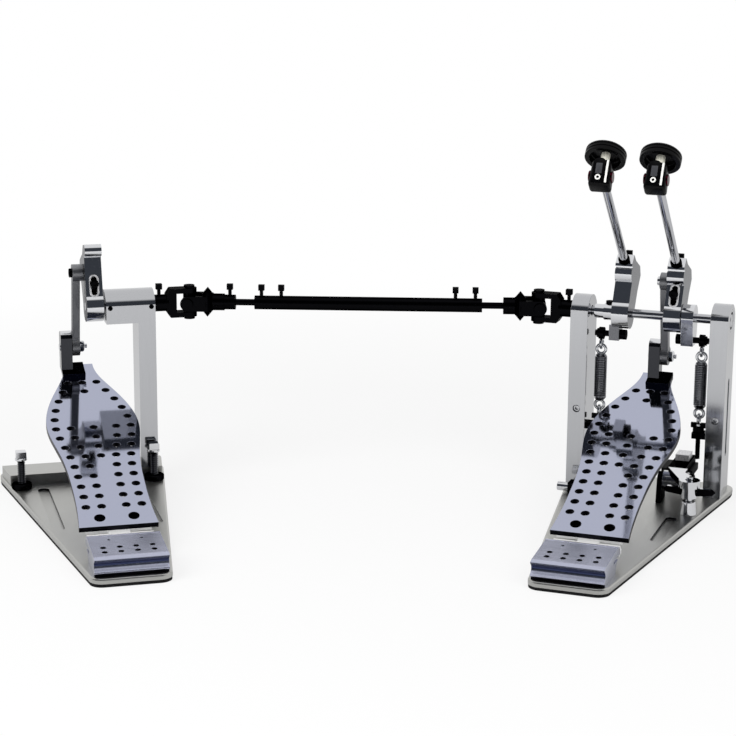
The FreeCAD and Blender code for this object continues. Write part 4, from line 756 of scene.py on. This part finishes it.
# The swivels are black at the stud, and the eyes' caps inside the coil are of its wire.
stud_foot, upper_cap, lower_cap = shaft_z - 27.3, 139.6, 92.4
wire, mean, turns, turn_steps = 0.85, 5.35, 23, 24
for side, name in ((-1, "left"), (1, "right")):
    dress(name + "_swivel", [chrome_plate, black_oxide_steel], 0.0, paint=second_above(stud_foot))
    dress(name + "_spring_upper_eye", [chrome_plate, spring_wire], 0.0, paint=second_below(upper_cap))
    dress(name + "_spring_lower_eye", [chrome_plate, spring_wire], 0.0, paint=second_above(lower_cap))
    low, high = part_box(name + "_spring")
    climb = 1000 * (high.z - low.z) - 2 * wire
    bm = bmesh.new()
    bmesh.ops.create_circle(bm, radius=wire, segments=10,
                            matrix=Matrix.Translation((mean, 0, wire)) @ Matrix.Rotation(math.pi / 2, 4, "X"))
    bmesh.ops.spin(bm, geom=bm.verts[:] + bm.edges[:], cent=(0, 0, 0), axis=(0, 0, 1),
                   dvec=(0, 0, climb / turns / turn_steps), angle=math.tau * turns, steps=turns * turn_steps)
    bmesh.ops.holes_fill(bm, edges=[e for e in bm.edges if e.is_boundary], sides=0)
    bmesh.ops.recalc_face_normals(bm, faces=bm.faces)
    foot = Matrix.Translation((side * 0.05, 0, low.z))
    bmesh.ops.transform(bm, matrix=foot @ Matrix.Scale(0.001, 4), verts=bm.verts)
    coil = put(name + "_spring_coil", bm, [spring_wire], None)
    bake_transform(coil)
    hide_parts(name + "_spring")
dress("spring_brackets", [black_oxide_steel], 0.0006)


def nuts_only(low, high):
    """Keeps the wing nuts, and leaves out the eye bolts, which are made here with a thread."""
    return 0 if high.x - low.x > 10 else None


dress("tension_rods", [black_oxide_steel], 0.0006, nuts_only)
eye_z = shaft_z - 100.5
bolt_neck = [(0, 74), (2.4, 74), (2.4, 76.5), (1.6, 77.6), (0, 77.6)]
bm = bmesh.new()
for x in (-50, 50):
    upright = along((x, 0, 0), (0, 0, 1))
    wire_ring(bm, 4.5, 1.5, along((x, 0, eye_z), (1, 0, 0)), 1)
    threaded(bm, 2.5, 0.45, 1.25, 41, 75, upright)
    turned(bm, bolt_neck, upright, 24, 1)
put("tension_eye_bolts", bm, [black_oxide_steel, chrome_plate], "main_base")

# Drive shaft: two universal joints of forged steel with needle bearing caps, and a steel tube that
# slides on a rod and is locked by key screws, all oxidised black.
for node in ("main_outer_yoke", "main_cross", "main_inner_yoke", "drive_tube", "slave_cross",
             "slave_inner_yoke", "slave_outer_yoke"):
    dress(node, [black_oxide_steel], 0.0008)

# Hoop clamp: a black steel jaw on a bright pivot barrel, with a rubber pad that grips the drum's hoop.
# The wing screw lifts its tail off a bright cone; a bolt in a block steadies the left side.
jaw_pivot, barrel_radius, tail_y = Vector((-42, 29)), 9.7, -66
wing_axis, wing_boss_radius = Vector((58, -79)), 8


def jaw_finish(middle, normal):
    """Chrome for the pivot barrel and the tail's end, black for the arms, and grey for the pad's block."""
    if (middle.yz - jaw_pivot).length < barrel_radius or middle.y < tail_y:
        return 0
    return 2 if middle.y > 0 and middle.z > 37.05 else 1


def clamp_finish(low, high):
    """Chrome for the cone and the side bolt, grey for the long pivot pin, and black for the rest."""
    cone = high.y < -56
    side_bolt = high.x < -40 and high.y - low.y < 10
    if cone or side_bolt:
        return 1
    return 2 if high.x - low.x > 30 else 0


def wing_finish(middle, normal):
    """Chrome for the screw and its boss, and black for the wings."""
    return 0 if (middle.xy - wing_axis).length < wing_boss_radius else 1


dress("clamp_bracket", [black_oxide_steel, chrome_plate, painted_shade_steel], 0.0006, clamp_finish)
dress("clamp_jaw", [chrome_plate, black_oxide_steel, satin_chrome], 0.0006, paint=jaw_finish)
dress("clamp_pad", [sheet_rubber], 0.0008)
dress("wing_screw", [chrome_plate, black_oxide_steel], 0.0009, paint=wing_finish)

# Spurs: square-headed screws through the slave pedal's bar and plate that bite the floor, each locked
# by a broad round nut.
spur_side, spur_y = 66, -28.5
point = [(0, 0.5), (1, 0.6), (3.4, 4), (3.4, 15), (0, 15)]
collar = [(0, 36.6), (5.4, 36.6), (6, 37.2), (6, 38.6), (5.4, 39.2), (0, 39.2)]
square_head = [(0, 39), (6.4, 39), (7.07, 39.6), (7.07, 45.4), (6.4, 46), (0, 46)]
lock_nut = [(4.05, 8), (9.4, 8), (10, 8.6), (10, 12.4), (9.2, 13.4), (7.6, 14), (4.05, 14)]
bm = bmesh.new()
for x in (-spur_side, spur_side):
    home = slave_frame @ along((x, spur_y, 0), (0, 0, 1))
    turned(bm, point, home, 24, 1)
    threaded(bm, 4, 0.9, 2.2, 13, 38, home, 1)
    turned(bm, collar, home)
    turned(bm, square_head, home @ Matrix.Rotation(math.pi / 4, 4, "Z"), 32,
           flats=((1, 4), (2, 4), (3, 4), (4, 4)))
    turned(bm, lock_nut, home, 48, 2, closed=True)
piece = put("slave_spurs_finished", bm, [chrome_plate, painted_shade_steel, black_oxide_steel], "slave_base")
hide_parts("slave_spurs")

# Studio: a white sweep for a floor, two soft boxes, a white room and a dark card behind the camera,
# which gives polished metal its dark bands. The camera stands where the photographer's stood.
floor_half, floor_z = 6.0, -0.0004
bm = bmesh.new()
bmesh.ops.create_grid(bm, x_segments=1, y_segments=1, size=floor_half,
                      matrix=Matrix.Translation((-0.25, 0.5, floor_z)))
floor_mesh = bpy.data.meshes.new("studio_floor")
bm.to_mesh(floor_mesh)
bm.free()
floor = bpy.data.objects.new("studio_floor", floor_mesh)
bpy.context.collection.objects.link(floor)

# White paper: it keeps the shadow near the pedals, and fades to the plain white of the background.
white_sweep = bpy.data.materials.new("white_paper_sweep")
white_sweep.use_nodes = True
tree = white_sweep.node_tree
tree.nodes.clear()
path = add_node(tree, "LightPath", {})
seen = add_node(tree, "Math", {0: path.outputs["Is Camera Ray"], 1: path.outputs["Is Glossy Ray"]},
                operation="ADD")
seen = add_node(tree, "Math", {0: seen.outputs[0], 1: path.outputs["Is Transmission Ray"]}, operation="ADD")
spot = add_node(tree, "TexCoord", {})
off = add_node(tree, "VectorMath", {0: spot.outputs["Object"], 1: (-0.25, -0.1, 0.0)}, operation="DISTANCE")
fade = add_node(tree, "MapRange", {"Value": off.outputs["Value"], "From Min": 0.45, "From Max": 1.1,
                                   "To Min": 0.8, "To Max": 1.0})
mirror_share = add_node(tree, "MapRange", {"Value": path.outputs["Is Glossy Ray"], "To Min": 1.0,
                                           "To Max": 0.25})
share = add_node(tree, "Math", {0: seen.outputs[0], 1: fade.outputs[0]}, operation="MULTIPLY")
share = add_node(tree, "Math", {0: share.outputs[0], 1: mirror_share.outputs[0]}, operation="MULTIPLY")
paper = add_node(tree, "BsdfDiffuse", {"Color": linear("#f4f4f4")})
glow = add_node(tree, "Emission", {"Color": (1, 1, 1, 1), "Strength": 1.0})
both = add_node(tree, "MixShader", {0: share.outputs[0], 1: paper.outputs[0], 2: glow.outputs[0]})
add_node(tree, "OutputMaterial", {"Surface": both.outputs[0]})
floor_mesh.materials.append(white_sweep)

# The room is white to the camera and to mirrors, but for the card, and lights the pedals softly.
world = bpy.data.worlds.new("white_studio")
bpy.context.scene.world = world
world.use_nodes = True
tree = world.node_tree
tree.nodes.clear()
card_way, card_colour = (0.1, -0.995, 0.0), (0.05, 0.056, 0.068, 1)
way = add_node(tree, "TexCoord", {})
toward = add_node(tree, "VectorMath", {0: way.outputs["Generated"], 1: card_way}, operation="DOT_PRODUCT")
parts = add_node(tree, "SeparateXYZ", {"Vector": way.outputs["Generated"]})
side = add_node(tree, "MapRange", {"Value": toward.outputs["Value"], "From Min": 0.22, "From Max": 0.42})
under = add_node(tree, "MapRange", {"Value": parts.outputs["Z"], "From Min": 0.78, "From Max": 0.88,
                                    "To Min": 1.0, "To Max": 0.0})
card = add_node(tree, "Math", {0: side.outputs[0], 1: under.outputs[0]}, operation="MULTIPLY")
room = add_node(tree, "MixRGB", {"Fac": card.outputs[0], "Color1": (1, 1, 1, 1), "Color2": card_colour})
path = add_node(tree, "LightPath", {})
soft = add_node(tree, "Background", {"Color": (1, 1, 1, 1), "Strength": 0.45})
mirrored = add_node(tree, "Background", {"Color": room.outputs[0], "Strength": 1.0})
white = add_node(tree, "Background", {"Color": (1, 1, 1, 1), "Strength": 1.0})
glossy = add_node(tree, "Math", {0: path.outputs["Is Glossy Ray"], 1: path.outputs["Is Transmission Ray"]},
                  operation="ADD")
one = add_node(tree, "MixShader", {0: glossy.outputs[0], 1: soft.outputs[0], 2: mirrored.outputs[0]})
two = add_node(tree, "MixShader", {0: path.outputs["Is Camera Ray"], 1: one.outputs[0], 2: white.outputs[0]})
add_node(tree, "OutputWorld", {"Surface": two.outputs[0]})

aim = Vector((-0.25, -0.1, 0.12))
for name, spot, size, power in (("key_soft_box", (-1.1, -2.0, 1.6), 1.6, 40.0),
                                ("fill_soft_box", (1.5, -1.6, 1.4), 1.4, 22.0)):
    lamp = bpy.data.lights.new(name, "AREA")
    lamp.size = size
    lamp.energy = power
    holder = bpy.data.objects.new(name, lamp)
    holder.location = spot
    holder.rotation_euler = (aim - Vector(spot)).to_track_quat("-Z", "Y").to_euler()
    holder.visible_glossy = False
    bpy.context.collection.objects.link(holder)

camera = bpy.data.objects.new("camera", bpy.data.cameras.new("camera"))
camera.data.sensor_width = 36.0
camera.data.lens = 99.3
camera.location = (0.398, -1.928, 0.588)
heading, tilt, roll = (math.radians(angle) for angle in (19.8, 76.7, 0.33))
camera.rotation_euler = (Matrix.Rotation(heading, 3, "Z") @ Matrix.Rotation(tilt, 3, "X")
                         @ Matrix.Rotation(roll, 3, "Z")).to_euler()
bpy.context.collection.objects.link(camera)
bpy.context.scene.camera = camera
bpy.context.scene.view_settings.view_transform = "Standard"
